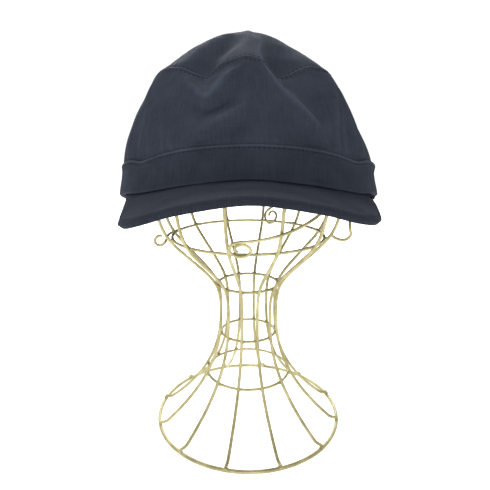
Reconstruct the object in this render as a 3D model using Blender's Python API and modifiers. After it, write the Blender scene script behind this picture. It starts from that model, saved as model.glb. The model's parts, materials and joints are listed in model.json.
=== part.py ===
"""Patrol cap of navy twill on a wire hat stand.

Metres, +Z up, the brim towards -Y. The origin is on the ground, under the
middle of the whole piece's box. The stand is a cage of bent ribs round small
hoops. The cap is modelled level in a frame of its own, tipped back, and let
down until its crown rests on the wires of the cage's top.
"""

import math
from typing import NamedTuple

import bmesh
import bpy
from mathutils import Euler, Vector
from mathutils.bvhtree import BVHTree
from mathutils.geometry import interpolate_bezier

# Clearance between two pieces that touch
GAP = 0.0003

# Stand, measured to the middle of each wire
STAND_HEIGHT = 0.2880
FOOT_RADIUS = 0.0727
FOOT_WIRE = 0.0027
WAIST_RADIUS = 0.0222
WAIST_HEIGHT = 0.0930
SHOULDER_HEIGHT = 0.1920
TOP_RING_RADIUS = 0.0080
RIB_COUNT = 12
RIB_WIRE = 0.0021
HOOP_WIRE = 0.0018
SCROLL_WIRE = 0.0018
SCROLL_RADIUS = 0.0060
SCROLL_REACH = 0.0140
RIB_TURN = math.radians(2.6)
FLARE_POWER = 2.45
DOME_POWER = 1.75

# Cap, in its own level frame, heights above the plane of the band's foot
CAP_TILT = math.radians(15.0)
BAND_HALF_WIDTH = 0.0915
BAND_FRONT = 0.0937
BAND_BACK = 0.0978
BAND_HEIGHT = 0.0195
BAND_LEAN = 0.0018
BAND_WALL = 0.0026
BAND_STEP = 0.0010
BAND_FRONT_POWER = 2.1
BAND_BACK_POWER = 2.0
CROWN_HEIGHT = 0.0800
CROWN_HALF_WIDTH = 0.0625
CROWN_LEAN = 0.0025
CROWN_FRONT = 0.0738
CROWN_BACK = 0.0570
CROWN_MIDDLE = 0.0080
CROWN_RISE = 0.1124
CROWN_FRONT_POWER = 2.9
CROWN_BACK_POWER = 2.2
APEX_FORWARD = 0.0250
HOLLOW_MIDDLE = 0.4 * CROWN_HEIGHT
CLOTH = 0.0016
PANEL_SEAM_FOOT = math.radians(45.0)
PANEL_SEAM_TOP = math.radians(54.0)
FOLD_DEPTH = 0.0100
FOLD_WIDTH = 0.0160

# Brim
BRIM_LENGTH = 0.0571
BRIM_HALF_WIDTH = 0.0780
BRIM_DROP = 0.0245
BRIM_TWIST = 0.06
BRIM_WALL = 0.0022
BRIM_HALF_ANGLE = math.radians(60.0)
BRIM_TUCK = 0.0018

# The cage clears the inside of the band all round
CAGE_CLEARANCE = 0.0185
CAGE_RADIUS = BAND_HALF_WIDTH - BAND_WALL - CAGE_CLEARANCE

# Mesh steps: columns from the middle of the front to the seam and from the
# seam to the middle of the back, then rows and turns
FRONT_COLUMNS = 10
SIDE_COLUMNS = 15
BAND_ROWS = 2
WALL_ROWS = 8
TOP_ROWS = 7
TOP_LAST_SHARE = 0.88
BRIM_COLUMNS = 12
BRIM_ROWS = 5
FOLD_STEPS = 8
PATH_STEPS = 24
RIB_STEPS = 17
FOOT_STEPS = 48
FOOT_SIDES = 8
TOP_RING_STEPS = 24
HOOP_SIDES = 6
CURL_STEPS = 16
RUN_STEPS = 9
TOUCH_STEPS = 48
SHARP_ANGLE = math.radians(50.0)


class CageRow(NamedTuple):
    """One height of the cage between its waist and its shoulder."""

    rise: float
    spread: float


class HoopRow(NamedTuple):
    """One hoop inside the ribs."""

    name: str
    height: float
    steps: int


class WaveRow(NamedTuple):
    """How far the band's two edges dip at one azimuth, of the band's height."""

    azimuth: float
    foot: float
    top: float


class SectionRow(NamedTuple):
    """How full the crown is at one azimuth, the same on both sides."""

    azimuth: float
    wall_bulge: float
    top_power: float


class SeamRow(NamedTuple):
    """Where the seam round the crown's top runs; azimuths under 0 are left."""

    azimuth: float
    reach: float
    height: float


class FoldRow(NamedTuple):
    """One dent (depth over 0) or ridge (under 0) along a line on the crown."""

    name: str
    azimuth: float
    level: float
    end_azimuth: float
    end_level: float
    width: float
    depth: float
    end_depth: float
    sharp: bool


class ScrollRow(NamedTuple):
    """One scroll wire: it leaves a rib, runs over the cage and ends in a curl.

    Azimuths are counted from the ribs' turn, heights are shares of the high
    hoop's and lengths are shares of the scroll's radius and reach. The curl
    turns from its first axis, which it is wider along, to its second: x is
    along the cage, y out of it and z up.
    """

    name: str
    weld_azimuth: float
    weld_height: float
    azimuth: float
    height: float
    out: float
    radius: float
    end_radius: float
    wide: float
    start: float
    turn: float
    run: float
    first: str
    second: str


class BrimRow(NamedTuple):
    """The brim's outer edge at one place across it."""

    across: float
    side: float
    forward: float
    drop: float


CAGE = (
    CageRow(0.00, 0.000),
    CageRow(0.12, 0.015),
    CageRow(0.22, 0.085),
    CageRow(0.32, 0.247),
    CageRow(0.46, 0.537),
    CageRow(0.56, 0.735),
    CageRow(0.66, 0.862),
    CageRow(0.80, 0.945),
    CageRow(1.00, 1.000),
)

HOOPS = (
    HoopRow("hoop_low", 0.0395, 24),
    HoopRow("hoop_lower_waist", 0.0730, 24),
    HoopRow("hoop_upper_waist", 0.1129, 24),
    HoopRow("hoop_high", 0.1510, 48),
)

BAND_WAVE = (
    WaveRow(0.0, 0.00, 0.00),
    WaveRow(20.0, 0.10, 0.04),
    WaveRow(32.0, 0.17, 0.11),
    WaveRow(44.0, 0.20, 0.21),
    WaveRow(53.0, 0.15, 0.07),
    WaveRow(66.0, 0.06, 0.00),
    WaveRow(80.0, 0.00, 0.00),
    WaveRow(115.0, -0.09, -0.09),
    WaveRow(145.0, -0.26, -0.25),
    WaveRow(180.0, -0.42, -0.40),
)

SECTIONS = (
    SectionRow(0.0, 0.035, 1.40),
    SectionRow(50.0, 0.050, 1.50),
    SectionRow(90.0, 0.055, 1.50),
    SectionRow(135.0, 0.085, 1.75),
    SectionRow(180.0, 0.100, 2.00),
)

SEAM = (
    SeamRow(-180.0, 1.00, 0.940),
    SeamRow(-135.0, 1.00, 0.950),
    SeamRow(-90.0, 1.00, 0.930),
    SeamRow(-55.0, 1.00, 0.915),
    SeamRow(-45.0, 1.00, 0.910),
    SeamRow(-34.0, 0.99, 0.895),
    SeamRow(-27.0, 0.98, 0.875),
    SeamRow(-21.0, 0.97, 0.860),
    SeamRow(-14.0, 0.98, 0.880),
    SeamRow(-7.0, 0.99, 0.910),
    SeamRow(1.0, 1.00, 0.938),
    SeamRow(7.0, 0.99, 0.905),
    SeamRow(12.0, 0.98, 0.870),
    SeamRow(18.0, 0.97, 0.850),
    SeamRow(26.0, 0.98, 0.865),
    SeamRow(34.0, 0.99, 0.885),
    SeamRow(45.0, 1.00, 0.900),
    SeamRow(90.0, 1.00, 0.920),
    SeamRow(135.0, 1.00, 0.950),
    SeamRow(180.0, 1.00, 0.940),
)

FOLDS = (
    FoldRow("left_bowl", -22.0, 1.92, -24.0, 2.05, 1.00, 0.30, 0.25, False),
    FoldRow("left_valley", -24.0, 2.05, -34.0, 2.42, 0.90, 0.40, 0.10, False),
    FoldRow("left_rim_outer", -36.0, 1.86, -21.0, 1.66, 0.60, -0.20, -0.40, True),
    FoldRow("left_rim_inner", -21.0, 1.66, -6.0, 1.92, 0.60, -0.40, -0.20, True),
    FoldRow("right_bowl", 22.0, 1.80, 22.0, 2.05, 1.00, 0.35, 0.25, False),
    FoldRow("right_valley", 22.0, 2.05, 36.0, 2.45, 0.90, 0.30, 0.15, False),
    FoldRow("right_ridge", 5.0, 2.00, 18.0, 1.56, 0.60, -0.25, -0.40, True),
    FoldRow("right_ridge_end", 18.0, 1.56, 28.0, 1.36, 0.60, -0.40, -0.05, True),
    FoldRow("slant_ridge", -18.0, 1.16, -2.0, 1.46, 0.80, -0.24, -0.12, False),
    FoldRow("left_hollow", -16.0, 1.48, -8.0, 1.55, 0.90, 0.25, 0.15, False),
    FoldRow("right_hollow", 22.0, 1.18, 38.0, 1.22, 0.90, 0.20, 0.12, False),
    FoldRow("left_corner", -48.0, 1.90, -46.0, 2.00, 1.30, -0.12, -0.12, False),
    FoldRow("left_top_full", -75.0, 2.20, -60.0, 2.60, 2.00, -0.30, -0.15, False),
    FoldRow("right_flat", 70.0, 1.55, 100.0, 1.50, 2.80, 0.30, 0.30, False),
)

BRIM_EDGE = (
    BrimRow(0.00, 0.000, 1.000, 0.665),
    BrimRow(0.30, 0.390, 0.930, 0.815),
    BrimRow(0.50, 0.640, 0.700, 0.950),
    BrimRow(0.65, 0.785, 0.410, 0.925),
    BrimRow(0.78, 0.875, 0.080, 0.845),
    BrimRow(0.86, 0.925, -0.090, 0.790),
    BrimRow(0.93, 0.950, -0.320, 0.640),
    BrimRow(1.00, 0.985, -0.680, 0.280),
)

SCROLLS = (
    ScrollRow("scroll_front", 46.0, 1.22, -7.0, 1.035, 0.03, 0.92, 0.36, 1.42, 95.0, 490.0, 4.0, "x", "z"),
    ScrollRow("scroll_right", 106.0, 1.18, 66.0, 1.050, 0.40, 0.60, 1.35, 1.20, 12.0, -178.0, 1.7, "y", "z"),
    ScrollRow("scroll_back", 134.0, 1.18, 158.5, 1.020, 0.03, 1.05, 0.36, 1.00, 50.0, -410.0, 1.5, "x", "z"),
    ScrollRow("scroll_left", -112.0, 0.99, -83.6, 0.987, 0.35, 0.62, 0.60, 1.00, 218.0, 255.0, 0.8, "y", "z"),
)


def smooth_value(places, values, place, flat_ends=True):
    """Reads a table between its rows on one smooth line."""
    if place <= places[0]:
        return values[0]
    if place >= places[-1]:
        return values[-1]
    last = len(places) - 1
    row = max(k for k in range(last) if places[k] <= place)

    def slope(k):
        if 0 < k < last:
            return (values[k + 1] - values[k - 1]) / (places[k + 1] - places[k - 1])
        if flat_ends:
            return 0.0
        first = min(k, last - 1)
        return (values[first + 1] - values[first]) / (places[first + 1] - places[first])

    step = places[row + 1] - places[row]
    share = (place - places[row]) / step
    rise = share * share * (3.0 - 2.0 * share)
    leave = share * (1.0 - share) ** 2 * step * slope(row)
    arrive = share * share * (share - 1.0) * step * slope(row + 1)
    return values[row] + (values[row + 1] - values[row]) * rise + leave + arrive


def column(table, name):
    """One named column of a table, in order."""
    return [getattr(row, name) for row in table]


def at_azimuth(table, name, azimuth):
    """A table's column at an azimuth, the same on both sides of the cap."""
    return smooth_value(column(table, "azimuth"), column(table, name), abs(math.degrees(azimuth)))


def signed_azimuth(table, name, azimuth):
    """A table's column at an azimuth, where the two sides differ."""
    return smooth_value(column(table, "azimuth"), column(table, name), math.degrees(azimuth))


def outline_radius(azimuth, half_width, front, back, front_power, back_power):
    """Distance from a section's middle to its outline, seen from above."""
    facing = 0.5 + 0.5 * math.cos(azimuth)
    power = back_power + (front_power - back_power) * facing
    reach = front if math.cos(azimuth) > 0.0 else back
    across = abs(math.sin(azimuth)) / half_width
    along = abs(math.cos(azimuth)) / reach
    return (across ** power + along ** power) ** (-1.0 / power)


def band_edge(azimuth, level, inset):
    """A point of the band's outer skin; level 0 is its foot and 1 its top."""
    lean = BAND_LEAN * level + inset
    radius = outline_radius(
        azimuth,
        BAND_HALF_WIDTH - lean,
        BAND_FRONT - lean,
        BAND_BACK - lean,
        BAND_FRONT_POWER,
        BAND_BACK_POWER,
    )
    foot = -at_azimuth(BAND_WAVE, "foot", azimuth)
    top = 1.0 - at_azimuth(BAND_WAVE, "top", azimuth)
    height = BAND_HEIGHT * (foot + (top - foot) * level)
    return Vector((radius * math.sin(azimuth), -radius * math.cos(azimuth), height))


def crown_seam(azimuth):
    """A point of the seam round the crown's top."""
    radius = outline_radius(
        azimuth,
        CROWN_HALF_WIDTH,
        CROWN_FRONT - CROWN_MIDDLE,
        CROWN_BACK + CROWN_MIDDLE,
        CROWN_FRONT_POWER,
        CROWN_BACK_POWER,
    )
    radius *= signed_azimuth(SEAM, "reach", azimuth)
    height = CROWN_HEIGHT * signed_azimuth(SEAM, "height", azimuth)
    return Vector(
        (
            radius * math.sin(azimuth) - CROWN_LEAN,
            -radius * math.cos(azimuth) - CROWN_MIDDLE,
            height,
        )
    )


def smooth_form(azimuth, level):
    """The cap's outer skin before its folds.

    Level 0 is the band's foot, 1 its top, 2 the crown's seam and 3 the apex.
    """
    if level <= 1.0:
        return band_edge(azimuth, level, 0.0)
    seam = crown_seam(azimuth)
    if level <= 2.0:
        share = level - 1.0
        foot = band_edge(azimuth, 1.0, BAND_STEP)
        point = foot.lerp(seam, share)
        bulge = CROWN_HEIGHT * at_azimuth(SECTIONS, "wall_bulge", azimuth)
        bulge *= 4.0 * share * (1.0 - share)
        outward = Vector((math.sin(azimuth), -math.cos(azimuth), 0.0))
        return point + outward * bulge
    share = level - 2.0
    apex = Vector((0.0, -APEX_FORWARD, CROWN_RISE))
    point = seam.lerp(apex, share)
    power = at_azimuth(SECTIONS, "top_power", azimuth)
    point.z = apex.z - (apex.z - seam.z) * (1.0 - share) ** power
    return point


def inward(point):
    """The way into the hollow: level at the band, down at the apex."""
    middle = Vector((0.0, -CROWN_MIDDLE, min(point.z, HOLLOW_MIDDLE)))
    return (middle - point).normalized()


def fold_line(fold):
    """Points along a fold, on the smooth form."""
    points = []
    for k in range(FOLD_STEPS + 1):
        share = k / FOLD_STEPS
        azimuth = math.radians(fold.azimuth + (fold.end_azimuth - fold.azimuth) * share)
        level = fold.level + (fold.end_level - fold.level) * share
        points.append(smooth_form(azimuth, level))
    return points


FOLD_LINES = [(fold, fold_line(fold)) for fold in FOLDS]


def fold_depth(point):
    """How far all folds together push a point of the smooth form inward."""
    total = 0.0
    for fold, line in FOLD_LINES:
        width = FOLD_WIDTH * fold.width
        nearest = (width, 0.0)
        for k in range(len(line) - 1):
            run = line[k + 1] - line[k]
            along = max(0.0, min(1.0, (point - line[k]).dot(run) / run.length_squared))
            distance = (point - line[k] - run * along).length
            if distance < nearest[0]:
                nearest = (distance, (k + along) / (len(line) - 1))
        near = 1.0 - nearest[0] / width
        if not fold.sharp:
            near = near * near * (3.0 - 2.0 * near)
        depth = fold.depth + (fold.end_depth - fold.depth) * nearest[1]
        total += FOLD_DEPTH * depth * near
    return total


def cap_point(azimuth, level, depth):
    """A point of the cap's cloth, at a depth under its outer skin."""
    point = smooth_form(azimuth, level)
    way = inward(point)
    if level > 1.0:
        point = point + way * fold_depth(point)
    return point + way * depth


def panel_seam(level):
    """Azimuth of the seams between the front panel and the side panels."""
    share = max(0.0, min(1.0, level - 1.0))
    return PANEL_SEAM_FOOT + (PANEL_SEAM_TOP - PANEL_SEAM_FOOT) * share * share


def column_azimuth(place, level):
    """Azimuth of a mesh column; the panels' seams lie on whole columns."""
    seam = panel_seam(level)
    if abs(place) <= FRONT_COLUMNS:
        return seam * place / FRONT_COLUMNS
    beyond = (abs(place) - FRONT_COLUMNS) / SIDE_COLUMNS
    return math.copysign(seam + (math.pi - seam) * beyond, place)


def cloth_skins(places, levels, wall):
    """The outer and inner skins of a panel, as rows of points."""
    return [
        [[cap_point(column_azimuth(place, level), level, depth) for place in places] for level in levels]
        for depth in (0.0, wall)
    ]


def draw_back(rows, first_row, last_row, ends):
    """Moves a skin's edges back by half a gap, towards the next points in."""

    def nearer(point, neighbour):
        return point + (neighbour - point).normalized() * (0.5 * GAP)

    if ends:
        for row in rows:
            row[0] = nearer(row[0], row[1])
            row[-1] = nearer(row[-1], row[-2])
    if first_row:
        rows[0] = [nearer(a, b) for a, b in zip(rows[0], rows[1])]
    if last_row:
        rows[-1] = [nearer(a, b) for a, b in zip(rows[-1], rows[-2])]


def wall_mesh(name, outer, inner, loop=False, pole=None):
    """Closes two skins into one wall.

    Rows run left to right seen from outside and rise from row to row. A loop
    joins each row's ends, and a pole closes the last row at an outer and an
    inner point.
    """
    shape = bmesh.new()
    skins = [[[shape.verts.new(point) for point in row] for row in rows] for rows in (outer, inner)]
    across = len(outer[0])
    spans = [(k, (k + 1) % across) for k in range(across if loop else across - 1)]
    for low, high in zip(range(len(outer) - 1), range(1, len(outer))):
        for a, b in spans:
            front, back = skins
            shape.faces.new((front[low][a], front[low][b], front[high][b], front[high][a]))
            shape.faces.new((back[low][b], back[low][a], back[high][a], back[high][b]))
    front, back = skins
    for a, b in spans:
        shape.faces.new((back[0][a], back[0][b], front[0][b], front[0][a]))
    if pole:
        tips = [shape.verts.new(point) for point in pole]
        for a, b in spans:
            shape.faces.new((front[-1][a], front[-1][b], tips[0]))
            shape.faces.new((back[-1][b], back[-1][a], tips[1]))
    else:
        for a, b in spans:
            shape.faces.new((front[-1][a], front[-1][b], back[-1][b], back[-1][a]))
    if not loop:
        for low, high in zip(range(len(outer) - 1), range(1, len(outer))):
            shape.faces.new((front[low][0], front[high][0], back[high][0], back[low][0]))
            shape.faces.new((front[low][-1], back[low][-1], back[high][-1], front[high][-1]))
    bmesh.ops.triangulate(shape, faces=shape.faces[:])
    bmesh.ops.recalc_face_normals(shape, faces=shape.faces[:])
    mesh = bpy.data.meshes.new(name)
    shape.to_mesh(mesh)
    shape.free()
    return mesh


def finish(name, colour, roughness, metallic):
    """A Principled material; the colour is linear."""
    material = bpy.data.materials.new(name)
    material.use_nodes = True
    shader = material.node_tree.nodes["Principled BSDF"]
    shader.inputs["Base Color"].default_value = (*colour, 1.0)
    shader.inputs["Roughness"].default_value = roughness
    shader.inputs["Metallic"].default_value = metallic
    material.diffuse_color = (*colour, 1.0)
    return material


def add_node(name, data, parts, parent, material):
    """Puts one named sub-part in the collection, under its parent."""
    node = bpy.data.objects.new(name, data)
    parts.objects.link(node)
    node.parent = parent
    data.materials.clear()
    data.materials.append(material)
    return node


def add_cloth(name, mesh, parts, parent, material):
    """Adds a cloth piece, shaded smooth but for its cut edges."""
    mesh.shade_smooth()
    mesh.set_sharp_from_angle(angle=SHARP_ANGLE)
    return add_node(name, mesh, parts, parent, material)


def even_levels(first, last, count):
    """Evenly spaced levels, ends included."""
    return [first + (last - first) * k / count for k in range(count + 1)]


def make_crown(parts, parent, material):
    """Front panel, two side panels and the top panel, which it gives back."""
    walls = (
        ("front_panel", range(-FRONT_COLUMNS, FRONT_COLUMNS + 1)),
        ("side_panel_left", range(-FRONT_COLUMNS - SIDE_COLUMNS, -FRONT_COLUMNS + 1)),
        ("side_panel_right", range(FRONT_COLUMNS, FRONT_COLUMNS + SIDE_COLUMNS + 1)),
    )
    for name, places in walls:
        skins = cloth_skins(places, even_levels(1.0, 2.0, WALL_ROWS), CLOTH)
        for skin in skins:
            draw_back(skin, True, True, True)
        add_cloth(name, wall_mesh(name, *skins), parts, parent, material)
    places = range(-FRONT_COLUMNS - SIDE_COLUMNS, FRONT_COLUMNS + SIDE_COLUMNS)
    skins = cloth_skins(places, even_levels(2.0, 2.0 + TOP_LAST_SHARE, TOP_ROWS), CLOTH)
    for skin in skins:
        draw_back(skin, True, False, False)
    pole = [cap_point(0.0, 3.0, depth) for depth in (0.0, CLOTH)]
    mesh = wall_mesh("top_panel", *skins, loop=True, pole=pole)
    return add_cloth("top_panel", mesh, parts, parent, material)


def make_band(parts, parent, material):
    """The turned-up band round the crown's foot."""
    places = range(-FRONT_COLUMNS - SIDE_COLUMNS, FRONT_COLUMNS + SIDE_COLUMNS)
    skins = cloth_skins(places, even_levels(0.0, 1.0, BAND_ROWS), BAND_WALL)
    for skin in skins:
        draw_back(skin, False, True, False)
    return add_cloth("band", wall_mesh("band", *skins, loop=True), parts, parent, material)


def brim_point(across, share, depth):
    """A point of the brim: across -1 to 1, share 0 at its root and 1 at its edge."""
    root = band_edge(across * BRIM_HALF_ANGLE, 0.0, BRIM_TUCK)
    root.z -= GAP
    places = column(BRIM_EDGE, "across")
    side = smooth_value(places, column(BRIM_EDGE, "side"), abs(across), flat_ends=False)
    forward = smooth_value(places, column(BRIM_EDGE, "forward"), abs(across))
    drop = smooth_value(places, column(BRIM_EDGE, "drop"), abs(across))
    edge = Vector(
        (
            math.copysign(BRIM_HALF_WIDTH * side, across),
            -BAND_FRONT - BRIM_LENGTH * forward,
            -BRIM_DROP * drop * (1.0 - BRIM_TWIST * across),
        )
    )
    return root.lerp(edge, share) - Vector((0.0, 0.0, depth))


def make_brim(parts, parent, material):
    """The stiffened brim, its root tucked under the band."""
    places = even_levels(-1.0, 1.0, 2 * BRIM_COLUMNS)
    shares = even_levels(0.0, 1.0, BRIM_ROWS)
    outer = [[brim_point(place, share, 0.0) for place in places] for share in shares]
    inner = [[brim_point(place, share, BRIM_WALL) for place in places] for share in shares]
    return add_cloth("brim", wall_mesh("brim", outer, inner), parts, parent, material)


def cage_path():
    """The rib's middle line from foot to top ring, as radius and height."""
    foot_height = FOOT_WIRE + 0.5 * RIB_WIRE + GAP
    path = []
    for k in range(PATH_STEPS):
        share = 1.0 - k / PATH_STEPS
        height = WAIST_HEIGHT * (1.0 - share)
        radius = WAIST_RADIUS + (FOOT_RADIUS - WAIST_RADIUS) * share ** FLARE_POWER
        path.append(Vector((radius, max(height, foot_height))))
    for k in range(PATH_STEPS):
        share = k / PATH_STEPS
        spread = smooth_value(column(CAGE, "rise"), column(CAGE, "spread"), share)
        height = WAIST_HEIGHT + (SHOULDER_HEIGHT - WAIST_HEIGHT) * share
        path.append(Vector((WAIST_RADIUS + (CAGE_RADIUS - WAIST_RADIUS) * spread, height)))
    end = TOP_RING_RADIUS + 0.5 * HOOP_WIRE + GAP
    top = STAND_HEIGHT - 0.5 * RIB_WIRE
    for k in range(PATH_STEPS + 1):
        turn = 0.5 * math.pi * k / PATH_STEPS
        radius = CAGE_RADIUS * math.cos(turn) ** (2.0 / DOME_POWER)
        rise = math.sin(turn) ** (2.0 / DOME_POWER)
        if radius > end:
            path.append(Vector((radius, SHOULDER_HEIGHT + (top - SHOULDER_HEIGHT) * rise)))
    path.append(Vector((end, top)))
    return path


def even_points(path, count):
    """Points at even distances along a path."""
    lengths = [0.0]
    for a, b in zip(path, path[1:]):
        lengths.append(lengths[-1] + (b - a).length)
    points = []
    for k in range(count + 1):
        goal = lengths[-1] * k / count
        after = next(j for j in range(1, len(path)) if lengths[j] >= goal - 1e-9)
        share = (goal - lengths[after - 1]) / (lengths[after] - lengths[after - 1])
        points.append(path[after - 1].lerp(path[after], share))
    return points


def wire_curve(name, points, diameter):
    """A round wire through points, its ends capped."""
    curve = bpy.data.curves.new(name, "CURVE")
    curve.dimensions = "3D"
    curve.bevel_depth = 0.5 * diameter
    curve.bevel_resolution = 1
    curve.use_fill_caps = True
    spline = curve.splines.new("POLY")
    spline.points.add(len(points) - 1)
    for knot, point in zip(spline.points, points):
        knot.co = (*point, 1.0)
    return curve


def cage_place(height):
    """The rib's radius at a height under the shoulder, and its slope there."""
    path = even_points(cage_path(), RIB_STEPS)
    after = next(k for k in range(1, len(path)) if path[k].y >= height)
    low, high = path[after - 1], path[after]
    share = (height - low.y) / (high.y - low.y)
    return low.x + (high.x - low.x) * share, (high.x - low.x) / (high.y - low.y)


def on_cage(along, out, height):
    """A point outside the ribs, from lengths along the cage, out and up."""
    radius, slope = cage_place(height)
    reach = radius + (0.5 * (RIB_WIRE + SCROLL_WIRE) + GAP) * math.hypot(1.0, slope) + out
    azimuth = along / CAGE_RADIUS
    return Vector((reach * math.sin(azimuth), -reach * math.cos(azimuth), height))


def scroll_points(scroll):
    """A scroll's middle line: its start at a rib, a bent run and its curl."""
    axes = {
        "x": Vector((1.0, 0.0, 0.0)),
        "y": Vector((0.0, 1.0, 0.0)),
        "z": Vector((0.0, 0.0, 1.0)),
    }
    first = axes[scroll.first]
    second = axes[scroll.second]
    high = HOOPS[-1].height
    weld = Vector((CAGE_RADIUS * math.radians(scroll.weld_azimuth), 0.0, high * scroll.weld_height))
    along = CAGE_RADIUS * math.radians(scroll.azimuth)
    middle = Vector((along, SCROLL_REACH * scroll.out, high * scroll.height))
    curl = []
    for k in range(CURL_STEPS + 1):
        share = k / CURL_STEPS
        turn = math.radians(scroll.start + scroll.turn * share)
        radius = SCROLL_RADIUS * (scroll.radius + (scroll.end_radius - scroll.radius) * share * share)
        across = first * scroll.wide * math.cos(turn)
        curl.append(middle + (across + second * math.sin(turn)) * radius)
    begin = math.radians(scroll.start)
    heading = second * math.cos(begin) - first * scroll.wide * math.sin(begin)
    before = curl[0] - heading * math.copysign(SCROLL_RADIUS * scroll.run, scroll.turn)
    run = interpolate_bezier(weld, weld.lerp(before, 0.4), before, curl[0], RUN_STEPS)
    points = run[:-1] + curl
    for k, point in enumerate(points):
        share = min(1.0, k / (RUN_STEPS - 1))
        if scroll.first == "y":
            # A curl that stands out from the cage stays round where the cage widens
            point.y -= share * (cage_place(point.z)[0] - cage_place(middle.z)[0])
        if share < 1.0:
            point.y = max(point.y, 0.0)
    return [on_cage(*point) for point in points]


def ring_profile(name, radius, height, wire, sides):
    """The round of a wire ring's section, flat under and on top."""
    mesh = bpy.data.meshes.new(name)
    spread = 0.5 * wire / math.cos(math.pi / sides)
    profile = []
    for k in range(sides):
        turn = math.pi / sides - 2.0 * math.pi * k / sides + 0.5 * math.pi
        profile.append((radius + spread * math.cos(turn), 0.0, height + spread * math.sin(turn)))
    mesh.from_pydata(profile, [(k, (k + 1) % sides) for k in range(sides)], [])
    return mesh


def add_ring(name, radius, height, wire, sides, steps, parts, parent, material):
    """Adds a wire ring: its section turned once round the stand's axis."""
    profile = ring_profile(name, radius, height, wire, sides)
    node = add_node(name, profile, parts, parent, material)
    screw = node.modifiers.new("turn", "SCREW")
    screw.axis = "Z"
    screw.angle = 2.0 * math.pi
    screw.steps = steps
    screw.render_steps = steps
    screw.use_merge_vertices = True
    screw.merge_threshold = 0.00001
    return node


def make_stand(parts, parent, material):
    """Foot ring, hoops, top ring, scrolls and ribs."""
    rings = [("foot_ring", FOOT_RADIUS, 0.5 * FOOT_WIRE, FOOT_WIRE, FOOT_SIDES, FOOT_STEPS)]
    seat = 0.5 * (RIB_WIRE + HOOP_WIRE) + GAP
    for hoop in HOOPS:
        radius, slope = cage_place(hoop.height)
        radius -= seat * math.hypot(1.0, slope)
        rings.append((hoop.name, radius, hoop.height, HOOP_WIRE, HOOP_SIDES, hoop.steps))
    top = STAND_HEIGHT - 0.5 * HOOP_WIRE
    rings.append(("top_ring", TOP_RING_RADIUS, top, HOOP_WIRE, HOOP_SIDES, TOP_RING_STEPS))
    for ring in rings:
        add_ring(*ring, parts, parent, material)
    for scroll in SCROLLS:
        curve = wire_curve(scroll.name, scroll_points(scroll), SCROLL_WIRE)
        node = add_node(scroll.name, curve, parts, parent, material)
        node.rotation_euler.z = RIB_TURN
    points = [Vector((0.0, -place.x, place.y)) for place in even_points(cage_path(), RIB_STEPS)]
    for number in range(RIB_COUNT):
        name = f"rib_{number + 1:02d}"
        node = add_node(name, wire_curve(name, points, RIB_WIRE), parts, parent, material)
        node.rotation_euler.z = rib_azimuth(number)


def rib_azimuth(number):
    """Azimuth of one rib; the front lies between the first and the last."""
    return RIB_TURN + 2.0 * math.pi * (number + 0.5) / RIB_COUNT


def dome_points():
    """Places on the middle lines of the wires under the crown, with half a wire."""
    top = STAND_HEIGHT - 0.5 * HOOP_WIRE
    wires = []
    for k in range(TOUCH_STEPS):
        wires.append((2.0 * math.pi * k / TOUCH_STEPS, TOP_RING_RADIUS, top, 0.5 * HOOP_WIRE))
    for place in cage_path():
        if place.y > SHOULDER_HEIGHT:
            for number in range(RIB_COUNT):
                wires.append((rib_azimuth(number), place.x, place.y, 0.5 * RIB_WIRE))
    points = []
    for azimuth, radius, height, half in wires:
        place = Vector((radius * math.sin(azimuth), -radius * math.cos(azimuth), height))
        points.append((place, half))
    return points


def resting_height(crown):
    """How high the tipped cap rests, its crown on the wires of the stand's top."""
    level = Euler((CAP_TILT, 0.0, 0.0)).to_matrix()
    cloth = BVHTree.FromPolygons(
        [vertex.co for vertex in crown.vertices],
        [tuple(face.vertices) for face in crown.polygons],
    )
    up = level @ Vector((0.0, 0.0, 1.0))
    points = dome_points()
    lift = 0.0
    for place, half in points:
        flat = level @ Vector((place.x, place.y, 0.0))
        touch = cloth.ray_cast(flat, up)[0]
        if touch:
            lift = max(lift, place.z + half - (touch - flat).dot(up))
    for _ in range(TOUCH_STEPS):
        under = [(level @ (place - Vector((0.0, 0.0, lift))), half) for place, half in points]
        lift += max(half + GAP - cloth.find_nearest(place)[3] for place, half in under)
    return lift


def centre_over_origin(frame, parts):
    """Moves the stand's frame so that the box of all pieces is centred in Y."""
    bpy.context.view_layer.update()
    reach = []
    for node in parts.objects:
        if node.type == "MESH":
            reach.extend((node.matrix_world @ vertex.co).y for vertex in node.data.vertices)
    frame.location.y -= 0.5 * (min(reach) + max(reach))


def main():
    """Builds the stand and the cap."""
    for node in list(bpy.data.objects):
        bpy.data.objects.remove(node, do_unlink=True)
    parts = bpy.data.collections.new("patrol_cap_on_stand")
    bpy.context.scene.collection.children.link(parts)
    twill = finish("navy_twill", (0.040, 0.048, 0.072), 0.9, 0.0)
    paint = finish("gold_paint", (0.56, 0.52, 0.27), 0.55, 0.0)
    stand = bpy.data.objects.new("stand_frame", None)
    cap = bpy.data.objects.new("cap_frame", None)
    for frame in (stand, cap):
        parts.objects.link(frame)
    cap.parent = stand
    make_stand(parts, stand, paint)
    crown = make_crown(parts, cap, twill)
    make_band(parts, cap, twill)
    make_brim(parts, cap, twill)
    cap.rotation_euler.x = -CAP_TILT
    cap.location.z = resting_height(crown.data)
    centre_over_origin(stand, parts)


main()
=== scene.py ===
"""Looks of a navy twill patrol cap resting on a gold painted wire stand.

Lengths are in metres, and azimuths in the tables are in degrees, 0 at the front
and growing to the right as the photograph shows it.
"""

import json
import logging
import math
from dataclasses import dataclass, field
from enum import Enum
from functools import partial
from typing import Callable, NamedTuple, Sequence

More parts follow.
